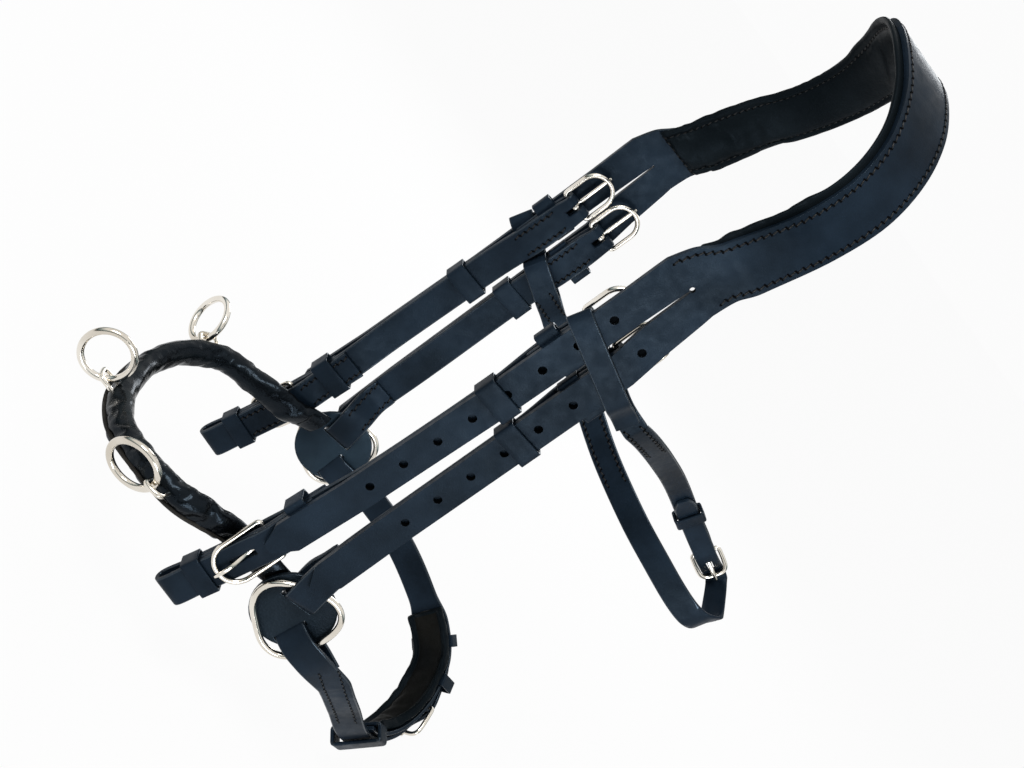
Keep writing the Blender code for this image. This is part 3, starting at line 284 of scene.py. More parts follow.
strap_face = leather("strap_leather", (0.0025, 0.0055, 0.0100), (0.0100, 0.0185, 0.0310), (0.36, 0.52),
                     shine=0.15)
strap_rim = leather("burnished_rim", (0.0040, 0.0050, 0.0065), (0.0100, 0.0120, 0.0150), (0.20, 0.34),
                    grain=700.0, depth=0.00005, shine=0.60)
# Walls of the punched holes: near-black and duller than the leather's face. This is painted shade
# inside the holes.
punched = leather("punched_wall_painted_shade", (0.0010, 0.0012, 0.0015), (0.0024, 0.0028, 0.0034), (0.55, 0.75),
                  shine=0.05)


def add_object(name, bm, materials):
    mesh = bpy.data.meshes.new(name)
    bm.to_mesh(mesh)
    bm.free()
    for material in materials:
        mesh.materials.append(material)
    mesh.shade_smooth()
    obj = bpy.data.objects.new(name, mesh)
    scene.collection.objects.link(obj)
    return obj


# The modifiers' result becomes the object's own plain mesh
def settle(obj):
    graph = bpy.context.evaluated_depsgraph_get()
    mesh = bpy.data.meshes.new_from_object(obj.evaluated_get(graph), preserve_all_data_layers=True,
                                           depsgraph=graph)
    obj.modifiers.clear()
    obj.data = mesh
    mesh.name = obj.name


# Rims of cut leather, rubbed round; the second material is the burnished one
RUBBED_ANGLE = math.radians(40)


def rub_rims(obj, width):
    bevel = obj.modifiers.new("rims", "BEVEL")
    bevel.width = width
    bevel.segments = 3
    bevel.limit_method = "ANGLE"
    bevel.angle_limit = RUBBED_ANGLE
    bevel.harden_normals = True
    bevel.material = 1
    settle(obj)


def stand_for(obj, node):
    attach(obj, nodes[node]["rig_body"])
    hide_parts(node)


# Sizes in millimetres. Levels run down from the poll, and each strap's middle line is (level, x).
HALF_SPAN = 94.0
STRAP_WIDTH = 22.0
BILLET_THICK = 3.5
BILLET_N = 5.65
CROWN_BASE = -130.0
CROWN_TOP = 10.0
CROWN_LIFT = 0.75
SPLIT_LEVEL = -165.0
BILLET_END = -465.0
BILLET_LEVELS = (-172, -184, -200, -214, -226, -262, -300, -350, -400, -430, -450, BILLET_END)
POINT_HALF = 3.5
FIRST_HOLE = -210.0
HOLE_PITCH = 25.4
HOLE_COUNT = 8
HOLE_WIDTH = 5.5
PUNCH_DEPTH = 12.0
BLIND_PUSH = 5.4
SLIT_X = 12.0
SLIT_HOLE = {"near": 3.4, "far": 1.4}
CROWN_RIM = 0.50
SIDES = {"near": -1.0, "far": 1.0}
SHIFT = {"near": 0.5, "far": -2.6}
FRONT_LINE = [(-600, -33.0), (-537, -21.5), (-505, -15.0), (-487, -11.5), (-455, -7.4),
              (-400, -4.0), (-300, -1.0), (-225, -0.3), (-162, -0.2)]
BACK_LINE = [(-600, 45.0), (-483, 37.0), (-466, 33.0), (-450, 29.8), (-400, 28.8),
             (-225, 28.2), (-200, 24.6), (-180, 23.4), (-162, 22.2)]
LEAN_TOP = -230.0
FRONT_WIDTH = [(-600, STRAP_WIDTH), (-200, STRAP_WIDTH), (-162, STRAP_WIDTH + 1.4)]
BACK_WIDTH = [(-600, STRAP_WIDTH), (-200, STRAP_WIDTH), (-162, STRAP_WIDTH - 2.4)]
# Above the split: level, middle, width and slit. Over the poll, by the degrees up the arch.
NECK_SHAPE = [(SPLIT_LEVEL, 10.2, 43.8, 0.9), (-150.0, 13.0, 40.5, 6.0), (-140.0, 18.0, 38.0, 9.0)]
ARCH_MIDDLE = [(0, 24), (15, 34), (30, 40), (45, 38.5), (60, 31), (75, 21), (90, 17)]
ARCH_WIDTH = [(0, 37), (15, 34), (30, 34), (45, 36), (60, 41), (75, 46), (90, 48)]
ARCH_STEP = 15
FAR_LEAN = [(0, 4.5), (15, 5.0), (30, 2.0), (45, 0.0)]


def table(rows, level):
    return float(np.interp(level, [row[0] for row in rows], [row[1] for row in rows]))


def smooth(points, steps):
    points = [np.array(p, float) for p in points]
    path = []
    for i in range(len(points) - 1):
        a, b, c, d = (points[min(max(j, 0), len(points) - 1)] for j in (i - 1, i, i + 1, i + 2))
        for k in range(steps):
            t = k / steps
            path.append(0.5 * (2 * b + (c - a) * t + (2 * a - 5 * b + 4 * c - d) * t ** 2
                               + (3 * b - a - 3 * c + d) * t ** 3))
    path.append(points[-1])
    return path


def on_side(side, x, n, z):
    return Vector((x + SHIFT[side], SIDES[side] * (HALF_SPAN + n), z))


# Direction across a strap whose middle line leans
def lean(line, z):
    z = min(z, LEAN_TOP)
    slope = (table(line, z + 4) - table(line, z - 4)) / 8
    return Vector((1.0, 0.0, -slope)).normalized()


def crown_arch():
    rows = []
    for angle in range(0, 181, ARCH_STEP):
        folded = min(angle, 180 - angle)
        turn = math.radians(angle)
        y = -(HALF_SPAN + BILLET_N) * math.cos(turn)
        z = CROWN_BASE + (CROWN_TOP - BILLET_THICK / 2 + CROWN_LIFT - CROWN_BASE) * math.sin(turn)
        middle = table(ARCH_MIDDLE, folded)
        middle -= table(FAR_LEAN, folded) if angle > 90 else 0.0
        near, far = SHIFT["near"], SHIFT["far"]
        middle += -0.5 * math.cos(turn) * (near - far) + (near + far) / 2
        rows.append(np.array((middle, y, z, table(ARCH_WIDTH, folded))))
    return rows


def crown_row(middle, y, z, width, parting):
    half = width / 2
    return [Vector((x, y, z)) for x in (middle - half, parting[0], parting[1], middle + half)]


def neck_rows(side):
    y = SIDES[side] * (HALF_SPAN + BILLET_N)
    move = SHIFT[side]
    slit_x = SLIT_X + move
    return [crown_row(middle + move, y, z, width, (slit_x - slit / 2, slit_x + slit / 2))
            for z, middle, width, slit in NECK_SHAPE]


def add_grid(bm, rows):
    made = [[bm.verts.new(point * MM) for point in row] for row in rows]
    for a, b in zip(made, made[1:]):
        for i in range(len(a) - 1):
            bm.faces.new((a[i], a[i + 1], b[i + 1], b[i]))


def add_peg(bm, centre, axis, width):
    turn = axis.to_track_quat("Z", "Y").to_matrix().to_4x4()
    radius = width / 2 * MM
    bmesh.ops.create_cone(bm, cap_ends=True, segments=24, radius1=radius, radius2=radius,
                          depth=PUNCH_DEPTH * MM, matrix=Matrix.Translation(centre * MM) @ turn)


crown_rows = neck_rows("near")
for middle, y, z, width in crown_arch():
    crown_rows.append(crown_row(middle, y, z, width, (middle - width / 6, middle + width / 6)))
crown_rows += list(reversed(neck_rows("far")))
crown_rows = smooth([[c for point in row for c in point] for row in crown_rows], 8)
crown_rows = [[Vector(row[i:i + 3]) for i in (0, 3, 6, 9)] for row in crown_rows]
sheet = bmesh.new()
add_grid(sheet, crown_rows)
pegs = bmesh.new()
for side, first in (("near", crown_rows[0]), ("far", crown_rows[-1])):
    outward = Vector((0, SIDES[side], 0))
    add_peg(pegs, on_side(side, SLIT_X, BILLET_N, SPLIT_LEVEL), outward, SLIT_HOLE[side])
    for line, widths, pick in ((FRONT_LINE, FRONT_WIDTH, 0), (BACK_LINE, BACK_WIDTH, 2)):
        strip = [first[pick:pick + 2]]
        for z in BILLET_LEVELS:
            half = table(widths, z) / 2 if z > BILLET_END else POINT_HALF
            centre = on_side(side, table(line, z), BILLET_N, z)
            across = lean(line, z) if z < LEAN_TOP else Vector((1, 0, 0))
            strip.append([centre - across * half, centre + across * half])
        add_grid(sheet, strip)
        for k in range(HOLE_COUNT):
            z = FIRST_HOLE - HOLE_PITCH * k
            # The first hole is punched blind, and its floor takes the near-black wall finish: painted
            # shade in the hole.
            push = BLIND_PUSH if k == 0 else 0.0
            add_peg(pegs, on_side(side, table(line, z), BILLET_N + push, z), outward, HOLE_WIDTH)
bmesh.ops.remove_doubles(sheet, verts=sheet.verts, dist=1e-6)
bmesh.ops.recalc_face_normals(sheet, faces=sheet.faces)
for f in pegs.faces:
    f.material_index = 2
crown = add_object("crown_and_billets", sheet, [strap_face, strap_rim, punched])
tool = add_object("crown_pegs", pegs, [strap_face, strap_rim, punched])
solid = crown.modifiers.new("thickness", "SOLIDIFY")
solid.thickness = BILLET_THICK * MM
solid.offset = 0.0
solid.use_even_offset = True
punch = crown.modifiers.new("holes", "BOOLEAN")
punch.operation = "DIFFERENCE"
punch.solver = "EXACT"
punch.object = tool
settle(crown)
bpy.data.objects.remove(tool)
rub_rims(crown, CROWN_RIM * MM)
stand_for(crown, "crown_leather")

# Cheeks, bit straps, throatlatch, chin strap and keepers: straps of the same leather, folded round
# their buckles. The keepers are narrow bands, sewn shut on the side that lies on the horse.
# Each keeps its solid's shape, with the rims rounded over and the folds drawn smooth.
NARROW = 0.0009
RIM_SHAPE = 1.25
RIM_CREASE = 0.62
CUT_ANGLE = math.radians(58)
CUT_CREASE = 0.85
RUNNER_EASE = (1.03, 1.07)
RUNNER_SLACK = {"far_bit_runner": 1.1}
CHEEK_PARTS = ("bit_cheekpiece", "cavesson_cheekpiece", "bit_strap", "bit_top_keeper",
               "cavesson_top_keeper", "bit_runner", "cavesson_runner", "point_keeper",
               "bit_loop_keeper")
LOWER_PARTS = ("throat_strap", "throat_near_strap", "chin_strap", "chin_pad_leather", "chin_chape",
               "throat_keeper", "chin_keeper_a", "chin_keeper_b", "chin_end_loop")


def plain_copy(node):
    bm = bmesh.new()
    bm.from_mesh(nodes[node].data)
    bmesh.ops.remove_doubles(bm, verts=bm.verts, dist=2e-6)
    bmesh.ops.join_triangles(bm, faces=bm.faces, angle_face_threshold=math.radians(8),
                             angle_shape_threshold=math.radians(60), cmp_seam=False, cmp_sharp=False,
                             cmp_uvs=False, cmp_vcols=False, cmp_materials=False)
    return bm


def subdivide(obj, levels):
    rounder = obj.modifiers.new("round", "SUBSURF")
    rounder.levels = levels
    rounder.render_levels = levels


# Long sides of the narrow rim faces, and cut edges, stay crisp while the bends are drawn round
def dress_strap(node, face=strap_face, rim=strap_rim, crisp=RIM_CREASE):
    bm = plain_copy(node)
    crease = bm.edges.layers.float.new("crease_edge")
    for f in bm.faces:
        lengths = [e.calc_length() for e in f.edges]
        if len(lengths) == 4 and min(lengths) < NARROW and max(lengths) > RIM_SHAPE * min(lengths):
            f.material_index = 1
            for e, length in zip(f.edges, lengths):
                if length > RIM_SHAPE * min(lengths):
                    e[crease] = crisp
    for e in bm.edges:
        if len(e.link_faces) == 2 and e.calc_face_angle() > CUT_ANGLE:
            e[crease] = CUT_CREASE
    obj = add_object(node + "_leather", bm, [face, rim])
    subdivide(obj, 2)
    even = obj.modifiers.new("even", "WEIGHTED_NORMAL")
    even.weight = 90
    settle(obj)
    stand_for(obj, node)
    return obj


# A sliding keeper is drawn a little wide, so that it clears the straps along its whole way
def ease_runner(band, slack):
    middle = sum((v.co for v in band.data.vertices), Vector()) / len(band.data.vertices)
    for vert in band.data.vertices:
        vert.co.x = middle.x + (vert.co.x - middle.x) * RUNNER_EASE[0]
        vert.co.y = middle.y + (vert.co.y - middle.y) * RUNNER_EASE[1]
        if vert.co.y < middle.y:
            vert.co.y -= slack * MM


for side in SIDES:
    for part in CHEEK_PARTS:
        node = side + "_" + part
        strap = dress_strap(node)
        if part.endswith("runner"):
            ease_runner(strap, RUNNER_SLACK.get(node, 0.0))
for part in LOWER_PARTS:
    dress_strap(part)

# Guard discs: round leather shields between each ring and the horse, the near one grain side out.
# Both straps pass through two slots, which are drawn half as tall as the solid's, so that the
# leather closes round each strap.
DISC_RADIUS = 28.0
DISC_RIM = 0.55
RIM_MARGIN = 0.3
SLOT_SHARE = 0.5
grain_side = leather("disc_leather", (0.0045, 0.0078, 0.0115), (0.0120, 0.0200, 0.0290), (0.38, 0.56),
                     grain=620.0, depth=0.00045)
smooth_side = leather("disc_smooth_leather", (0.0100, 0.0190, 0.0290), (0.0220, 0.0400, 0.0580),
                      (0.36, 0.50))


def dress_disc(node, face):
    bm = plain_copy(node)
    points = list(bm.verts)
    hub_x = (max(v.co.x for v in points) + min(v.co.x for v in points)) / 2
    hub_z = (max(v.co.z for v in points) + min(v.co.z for v in points)) / 2
    reach = (DISC_RADIUS - RIM_MARGIN) * MM
    inner = [v for v in points if math.hypot(v.co.x - hub_x, v.co.z - hub_z) < reach]
    inner.sort(key=lambda v: v.co.z - v.co.x)
    for slot in (inner[:len(inner) // 2], inner[len(inner) // 2:]):
        places = np.array([(v.co.x, v.co.z) for v in slot])
        centre = places.mean(axis=0)
        short = np.linalg.svd(places - centre)[2][1]
        for v, place in zip(slot, places):
            shift = -(1 - SLOT_SHARE) * float((place - centre) @ short) * short
            v.co.x += shift[0]
            v.co.z += shift[1]
    obj = add_object(node + "_leather", bm, [face, strap_rim])
    rub_rims(obj, DISC_RIM * MM)
    stand_for(obj, node)


dress_disc("near_guard_disc", grain_side)
dress_disc("far_guard_disc", smooth_side)

# Buckles, prongs, rings and staples: bent wire, nickel plated and polished.
# The wire is drawn round from the solid's eight sides, and swelled back to its own thickness.
# The top and bit buckles are bent on a former: square at the heel bar, and round at the free end.
TINT_SCALE = 30.0
POLISH_TINTS = ((0.64, 0.59, 0.51), (0.82, 0.78, 0.71))
WIPE_SCALE = 220.0
POLISH_ROUGH = (0.07, 0.20)
DENT_SCALE = 320.0
DENT_DEPTH = 0.00002
DENT_STRENGTH = 0.08
metal, tree, shader, place = new_finish("polished_metal")
link = tree.links.new
shader.inputs["Metallic"].default_value = 1.0
tint = two_tones(tree, add_noise(tree, TINT_SCALE, 3.0, place), *POLISH_TINTS)
link(tint, shader.inputs["Base Color"])
wiped = spread(tree, add_noise(tree, WIPE_SCALE, 5.0, place), *POLISH_ROUGH)
link(wiped, shader.inputs["Roughness"])
dents = bump(tree, add_noise(tree, DENT_SCALE, 2.0, place), DENT_DEPTH, DENT_STRENGTH)
link(dents, shader.inputs["Normal"])

WIRE_SWELL = 0.09
RING_WIRE = 2.3
NOSE_RING_WIRE = 2.5
STAPLE_WIRE = 1.75
FRAME_WIRE = 1.7
WIRE_SIDES = 12
HEEL_CORNER = 2.5
BEND_POINTS = 13
HEEL_POINTS = 5
TOP_FRAME = {"width": 27.6, "length": 28.0, "rise": 0.0, "corner": 11.8}
BIT_FRAME = {"width": 31.4, "length": 39.0, "rise": 9.0, "corner": 12.8}
HEEL_LEVEL = -222.0
FOLD_BELOW = 8.0
BAR_N = -3.5
BIT_HEEL_LEVEL = -463.0
LOOP_BELOW = 20.0
BIT_BAR_N = -4.7


def dress_wire(node, radius):
    bm = plain_copy(node)
    bmesh.ops.recalc_face_normals(bm, faces=bm.faces)
    bm.normal_update()
    for vert in bm.verts:
        vert.co += vert.normal * (radius * WIRE_SWELL * MM)
    obj = add_object(node + "_metal", bm, [metal])
    subdivide(obj, 2)
    settle(obj)
    stand_for(obj, node)


# A tube through rings of points, closed on itself or with a cap at each end
def skin(rings, closed=False):
    bm = bmesh.new()
    made = [[bm.verts.new(point * MM) for point in ring] for ring in rings]
    count = len(made[0])
    for a, b in zip(made, made[1:] + made[:1] if closed else made[1:]):
        for i in range(count):
            j = (i + 1) % count
            bm.faces.new((a[i], a[j], b[j], b[i]))
    if not closed:
        for ring in (made[0], made[-1]):
            middle = bm.verts.new(sum((v.co for v in ring), Vector()) / count)
            for i in range(count):
                bm.faces.new((ring[i], ring[(i + 1) % count], middle))
    bmesh.ops.recalc_face_normals(bm, faces=bm.faces)
    return bm


def bent_frame(node, heel, up, out, width, length, rise, corner):
    across = out.cross(up).normalized()
    half = width / 2 - FRAME_WIRE
    line = []
    for end_x, top, first in ((1, True, 0), (-1, True, 90), (-1, False, 180), (1, False, 270)):
        bend = corner if top else HEEL_CORNER
        for extra in np.linspace(0, 90, BEND_POINTS if top else HEEL_POINTS):
            turn = math.radians(first + extra)
            a = end_x * (half - bend) + bend * math.cos(turn)
            b = (length - bend if top else bend) + bend * math.sin(turn)
            line.append(heel + across * a + up * b + out * (rise * b / length))
    flat = across.cross(up * length + out * rise).normalized()
    rings = []
    for i, point in enumerate(line):
        along = (line[(i + 1) % len(line)] - line[i - 1]).normalized()
        aside = along.cross(flat)
        turns = [math.tau * k / WIRE_SIDES for k in range(WIRE_SIDES)]
        rings.append([point + (flat * math.cos(t) + aside * math.sin(t)) * FRAME_WIRE for t in turns])
    stand_for(add_object(node + "_metal", skin(rings, True), [metal]), node)


for side in SIDES:
    outward = Vector((0, SIDES[side], 0))
    for part, line in (("bit_top", FRONT_LINE), ("cavesson_top", BACK_LINE)):
        heel = on_side(side, table(line, HEEL_LEVEL - FOLD_BELOW), BAR_N, HEEL_LEVEL)
        bent_frame(side + "_" + part + "_frame", heel, Vector((0, 0, 1)), outward, **TOP_FRAME)
    heel = on_side(side, table(FRONT_LINE, BIT_HEEL_LEVEL), BIT_BAR_N, BIT_HEEL_LEVEL)
    down = lean(FRONT_LINE, BIT_HEEL_LEVEL - LOOP_BELOW).cross(outward).normalized()
    down = -down if down.z > 0 else down
    bent_frame(side + "_bit_buckle_frame", heel, down, outward, **BIT_FRAME)
    for part in ("bit_top", "cavesson_top", "bit_buckle"):
        dress_strap(side + "_" + part + "_prong", metal, metal, 0.0)
    dress_wire(side + "_three_way_ring", RING_WIRE)
for part in ("throat", "chin"):
    dress_wire(part + "_frame", FRAME_WIRE)
    dress_strap(part + "_prong", metal, metal, 0.0)
for part in ("near", "mid", "far"):
    dress_wire(part + "_nose_staple", STAPLE_WIRE)
    dress_wire(part + "_nose_ring", NOSE_RING_WIRE)


# Crown stitching: black linen thread of two plies, in one row along each rim.
# It is sewn by hand at five to six stitches to the inch, through the leather and the lining.
# Each stitch lies a little slanted between two awl holes pricked through the leather.
FIBRE_SCALE = 700.0
WAX_SCALE = 1500.0
FUZZ_SCALE = 2600.0
FIBRE_SHADE = 0.6
WAX_SPAN = (-0.06, 0.08)
THREAD_FLATNESS = 0.42
AWL_RADIUS = 0.72
AWL_LIFT = 0.06
PLAY_SEED = 7


def plain_finish(name, colour, rough, shine):
    material, tree, shader, place = new_finish(name)
    link = tree.links.new
    darker = tuple(part * FIBRE_SHADE for part in colour)
    fibre = two_tones(tree, add_noise(tree, FIBRE_SCALE, 3.0, place), darker, colour)
    link(fibre, shader.inputs["Base Color"])
    dull, waxy = (rough + part for part in WAX_SPAN)
    wax = spread(tree, add_noise(tree, WAX_SCALE, 2.0, place), dull, waxy)
    link(wax, shader.inputs["Roughness"])
    fuzz = bump(tree, add_noise(tree, FUZZ_SCALE, 2.0, place), 0.0001, 0.6)
    link(fuzz, shader.inputs["Normal"])
    shader.inputs["Specular IOR Level"].default_value = shine
    return material


thread = plain_finish("waxed_thread", (0.0022, 0.0028, 0.0038), 0.42, 0.35)
# Awl holes are drawn as flat near-black discs at both ends of each stitch: painted shade in the holes.
awl_hole_shade = plain_finish("awl_hole_shade", (0.0012, 0.0012, 0.0014), 0.85, 0.05)


def stitch_tree():
    tree = bpy.data.node_groups.new("stitching", "GeometryNodeTree")
    link = tree.links.new
    face = tree.interface
    face.new_socket("Rows", in_out="INPUT", socket_type="NodeSocketGeometry")
    for title in ("Pitch", "Length", "Width", "Slant", "Slant Play"):
        face.new_socket(title, in_out="INPUT", socket_type="NodeSocketFloat")
    for title in ("Thread", "Hole Shade"):
        face.new_socket(title, in_out="INPUT", socket_type="NodeSocketMaterial")
    face.new_socket("Stitches", in_out="OUTPUT", socket_type="NodeSocketGeometry")

    def add(kind, **settings):
        node = tree.nodes.new(kind)
        for key, value in settings.items():
            setattr(node, key, value)
        return node

    def share(value, factor):
        node = add("ShaderNodeMath", operation="MULTIPLY")
        node.inputs[1].default_value = factor
        link(value, node.inputs[0])
        return node.outputs[0]

    def vector(x, y, z):
        node = add("ShaderNodeCombineXYZ")
        for socket, value in zip(node.inputs, (x, y, z)):
            if value is not None:
                link(value, socket)
        return node.outputs[0]

    given = add("NodeGroupInput").outputs
    ball = add("GeometryNodeMeshUVSphere")
    ball.inputs["Segments"].default_value = 8
    ball.inputs["Rings"].default_value = 5
    shaped = add("GeometryNodeTransform")
    link(ball.outputs["Mesh"], shaped.inputs["Geometry"])
    plump = vector(share(given["Length"], 0.5), share(given["Width"], 0.5),
                   share(given["Width"], THREAD_FLATNESS))
    link(plump, shaped.inputs["Scale"])
    round_over = add("GeometryNodeSetShadeSmooth")
    link(shaped.outputs[0], round_over.inputs[0])
    dyed = add("GeometryNodeSetMaterial")
    link(round_over.outputs[0], dyed.inputs["Geometry"])
    link(given["Thread"], dyed.inputs["Material"])
    # The awl hole is a flat near-black disc of painted shade, laid at each end of the stitch.
    prick = add("GeometryNodeMeshCircle", fill_type="NGON")
    prick.inputs["Vertices"].default_value = 8
    link(share(given["Width"], AWL_RADIUS), prick.inputs["Radius"])
    dark = add("GeometryNodeSetMaterial")
    link(prick.outputs[0], dark.inputs["Geometry"])
    link(given["Hole Shade"], dark.inputs["Material"])
    pair = add("GeometryNodeJoinGeometry")
    link(dyed.outputs[0], pair.inputs[0])
    for factor in (-0.5, 0.5):
        moved = add("GeometryNodeTransform")
        link(dark.outputs[0], moved.inputs["Geometry"])
        place = vector(share(given["Length"], factor), None, share(given["Width"], AWL_LIFT))
        link(place, moved.inputs["Translation"])
        link(moved.outputs[0], pair.inputs[0])
    line = add("GeometryNodeMeshToCurve")
    link(given["Rows"], line.inputs["Mesh"])
    marks = add("GeometryNodeResampleCurve", mode="LENGTH")
    link(line.outputs[0], marks.inputs["Curve"])
    link(given["Pitch"], marks.inputs["Length"])
    up = add("GeometryNodeInputNamedAttribute", data_type="FLOAT_VECTOR")
    up.inputs["Name"].default_value = "up"
    axes = add("FunctionNodeAxesToRotation", primary_axis="Z", secondary_axis="X")
    link(up.outputs["Attribute"], axes.inputs["Primary Axis"])
    link(add("GeometryNodeInputTangent").outputs[0], axes.inputs["Secondary Axis"])
    play = add("FunctionNodeRandomValue", data_type="FLOAT")
    play.inputs["Seed"].default_value = PLAY_SEED
    low = add("ShaderNodeMath", operation="SUBTRACT")
    high = add("ShaderNodeMath", operation="ADD")
    for node in (low, high):
        link(given["Slant"], node.inputs[0])
        link(given["Slant Play"], node.inputs[1])
    link(low.outputs[0], play.inputs[2])
    link(high.outputs[0], play.inputs[3])
    turn = add("FunctionNodeEulerToRotation")
    link(vector(None, None, play.outputs[1]), turn.inputs[0])
    both = add("FunctionNodeRotateRotation", rotation_space="LOCAL")
    link(axes.outputs[0], both.inputs["Rotation"])
    link(turn.outputs[0], both.inputs["Rotate By"])
    laid = add("GeometryNodeInstanceOnPoints")
    link(marks.outputs[0], laid.inputs["Points"])
    link(pair.outputs[0], laid.inputs["Instance"])
    link(both.outputs[0], laid.inputs["Rotation"])
    real = add("GeometryNodeRealizeInstances")
    link(laid.outputs[0], real.inputs[0])
    end = add("NodeGroupOutput")
    link(real.outputs[0], end.inputs[0])
    return tree


stitching = stitch_tree()
stitch_inputs = {item.name: item.identifier for item in stitching.interface.items_tree
                 if item.in_out == "INPUT"}
SLANT_PLAY = 0.07
THREAD_LIFT = 0.12
DROP = 12.0


def surface_of(piece):
    mesh = bpy.data.objects[piece].data
    corners = [v.co.copy() for v in mesh.vertices]
    return BVHTree.FromPolygons(corners, [list(p.vertices) for p in mesh.polygons])


# A row of points in millimetres, dropped along one way, or one for each part of it, onto a surface
def drop_row(points, way, surface, step=2.0):
    row = []
    for a, b in zip(points, points[1:]):
        count = max(int((b - a).length / step), 1)
        row += [a.lerp(b, k / count) for k in range(count)]
    row.append(points[-1])
    ways = way if isinstance(way, list) else [way]
    landed = []
    for i, point in enumerate(row):
        toward = ways[min(int(i * len(ways) / len(row)), len(ways) - 1)].normalized()
        hit, normal, _, _ = surface.ray_cast((point - toward * DROP) * MM, toward, 2 * DROP * MM)
        if hit is not None:
            if normal.dot(toward) > 0:
                normal = -normal
            landed.append((hit + normal * THREAD_LIFT * MM, normal))
    return landed


def sew(name, rows, pitch=4.6, length=3.9, width=1.15, slant=0.30):
    rows = [row for row in rows if len(row) > 1]
    edges = []
    start = 0
    for row in rows:
        edges += [(start + i, start + i + 1) for i in range(len(row) - 1)]
        start += len(row)
    mesh = bpy.data.meshes.new(name)
    mesh.from_pydata([place for row in rows for place, up in row], edges, [])
    ups = mesh.attributes.new("up", "FLOAT_VECTOR", "POINT")
    ups.data.foreach_set("vector", [c for row in rows for place, up in row for c in up])
    obj = bpy.data.objects.new(name, mesh)
    scene.collection.objects.link(obj)
    maker = obj.modifiers.new("stitching", "NODES")
    maker.node_group = stitching
    given = {"Pitch": pitch * MM, "Length": length * MM, "Width": width * MM, "Slant": slant,
             "Slant Play": SLANT_PLAY, "Thread": thread, "Hole Shade": awl_hole_shade}
    for title, value in given.items():
        maker[stitch_inputs[title]] = value
    settle(obj)
    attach(obj, "bridle")


ROW_INSET = 3.7
ROW_ENDS = {"front": -163.0, "back": -158.0}
ARCH_FOOT = -120.0
ARCH_AIM = -60.0
crown_surface = surface_of("crown_and_billets")
crown_seams = []
for edge in ROW_ENDS:
    line = []
    for row in crown_rows:
        rim, inner = (row[0], row[3]) if edge == "front" else (row[3], row[0])
        if rim.z > ROW_ENDS[edge]:
            line.append(rim + (inner - rim).normalized() * ROW_INSET)
    for half_line in (line[:len(line) // 2 + 1], line[len(line) // 2:]):
        ways = [Vector((0, -p.y, ARCH_AIM - p.z if p.z > ARCH_FOOT else 0)) for p in half_line]
        crown_seams.append(drop_row(half_line, ways, crown_surface))
sew("crown_thread", crown_seams)

# Crown lining: soft black leather over felt, with a rolled rim outside each row of stitches.
# It is glued and sewn to the underside of the crown, and swells between its seams.
# The cover is blown out as cloth from a thinner shape, held fast where it is sewn.
CLOTH_STEPS = 20


def puff(obj, sewn, pressure, grow, cap, stiff=12.0):
    rest = np.array([v.co for v in obj.data.vertices])
    group = obj.vertex_groups.new(name="sewn")
    group.add(sewn, 1.0, "REPLACE")
    cloth = obj.modifiers.new("puff", "CLOTH")
    rules = cloth.settings
    rules.quality = 6
    rules.mass = 0.15
    rules.tension_stiffness = stiff
    rules.compression_stiffness = stiff
    rules.shear_stiffness = stiff / 2
    rules.bending_stiffness = 0.3
    rules.use_pressure = True
    rules.uniform_pressure_force = pressure
    rules.shrink_min = -grow
    rules.vertex_group_mass = "sewn"
    rules.effector_weights.gravity = 0.0
    cloth.collision_settings.use_collision = False
    cloth.point_cache.frame_start = 1
    cloth.point_cache.frame_end = CLOTH_STEPS
    for step in range(1, CLOTH_STEPS + 1):
        scene.frame_set(step)
    graph = bpy.context.evaluated_depsgraph_get()
    blown = obj.evaluated_get(graph).to_mesh()
    moved = np.array([v.co for v in blown.vertices]) - rest
    obj.modifiers.remove(cloth)
    scene.frame_set(1)
    far = np.linalg.norm(moved, axis=1)
    moved *= (np.minimum(far, cap) / np.maximum(far, 1e-9))[:, None]
    for vert, place in zip(obj.data.vertices, rest + moved):
        vert.co = place


# Held fast: whole columns of the rings, the rings at both ends and the two points that close them
def sewn_points(rings, columns, end_rings):
    count = len(rings[0])
    last = len(rings) - 1
    points = [i * count + j for i in range(len(rings)) for j in columns]
    for i in range(end_rings):
        points += [k * count + j for k in (i, last - i) for j in range(count)]
    return points + [len(rings) * count, len(rings) * count + 1]


# Columns that lie on the leather under the pad, or in a seam
def fixed_columns(outline, seam):
    return [j for j, (a, b) in enumerate(outline) if b < 0.1 or abs(abs(a) - seam) < 0.01]


lining_skin = leather("lining_leather", (0.0022, 0.0036, 0.0046), (0.0058, 0.0086, 0.0108),
                      (0.36, 0.56), grain=1100.0, depth=0.00018, crumple=0.00045, shine=0.06)
# Across the strip, in shares of its half width, and how far it stands off the crown
LINING_OUTLINE = [(-0.93, 0.0), (-1.00, 1.0), (-1.04, 2.4), (-1.00, 4.0), (-0.91, 4.7), (-0.83, 4.0),
                  (-0.77, 2.5), (-0.71, 3.9), (-0.60, 5.1), (-0.42, 5.9), (-0.20, 6.3), (0.0, 6.4),
                  (0.20, 6.3), (0.42, 5.9), (0.60, 5.1), (0.71, 3.9), (0.77, 2.5), (0.83, 4.0),
                  (0.91, 4.7), (1.00, 4.0), (1.03, 2.4), (0.99, 1.0), (0.93, 0.0), (0.6, 0.0),
                  (0.2, 0.0), (-0.2, 0.0), (-0.6, 0.0)]
LINING_SEAM = 0.77
LINING_NECK = [(14.0, -148.0, 39.0), (18.5, -139.0, 37.5)]
LINING_FADE = (0.30, 0.42, 0.40, 0.62, 0.85)
LINING_INSET = 1.2
LINING_GAP = 0.3
FRONT_EDGE = 0.4
FRONT_SWELL = 5.2
FRONT_SPREAD = 1.8
HEAD_LEVEL = -100.0
LINING_AIM = 4.0
ROW_TRIM = 3
END_ROW = 2
END_INSET = 5.0
neck = {}
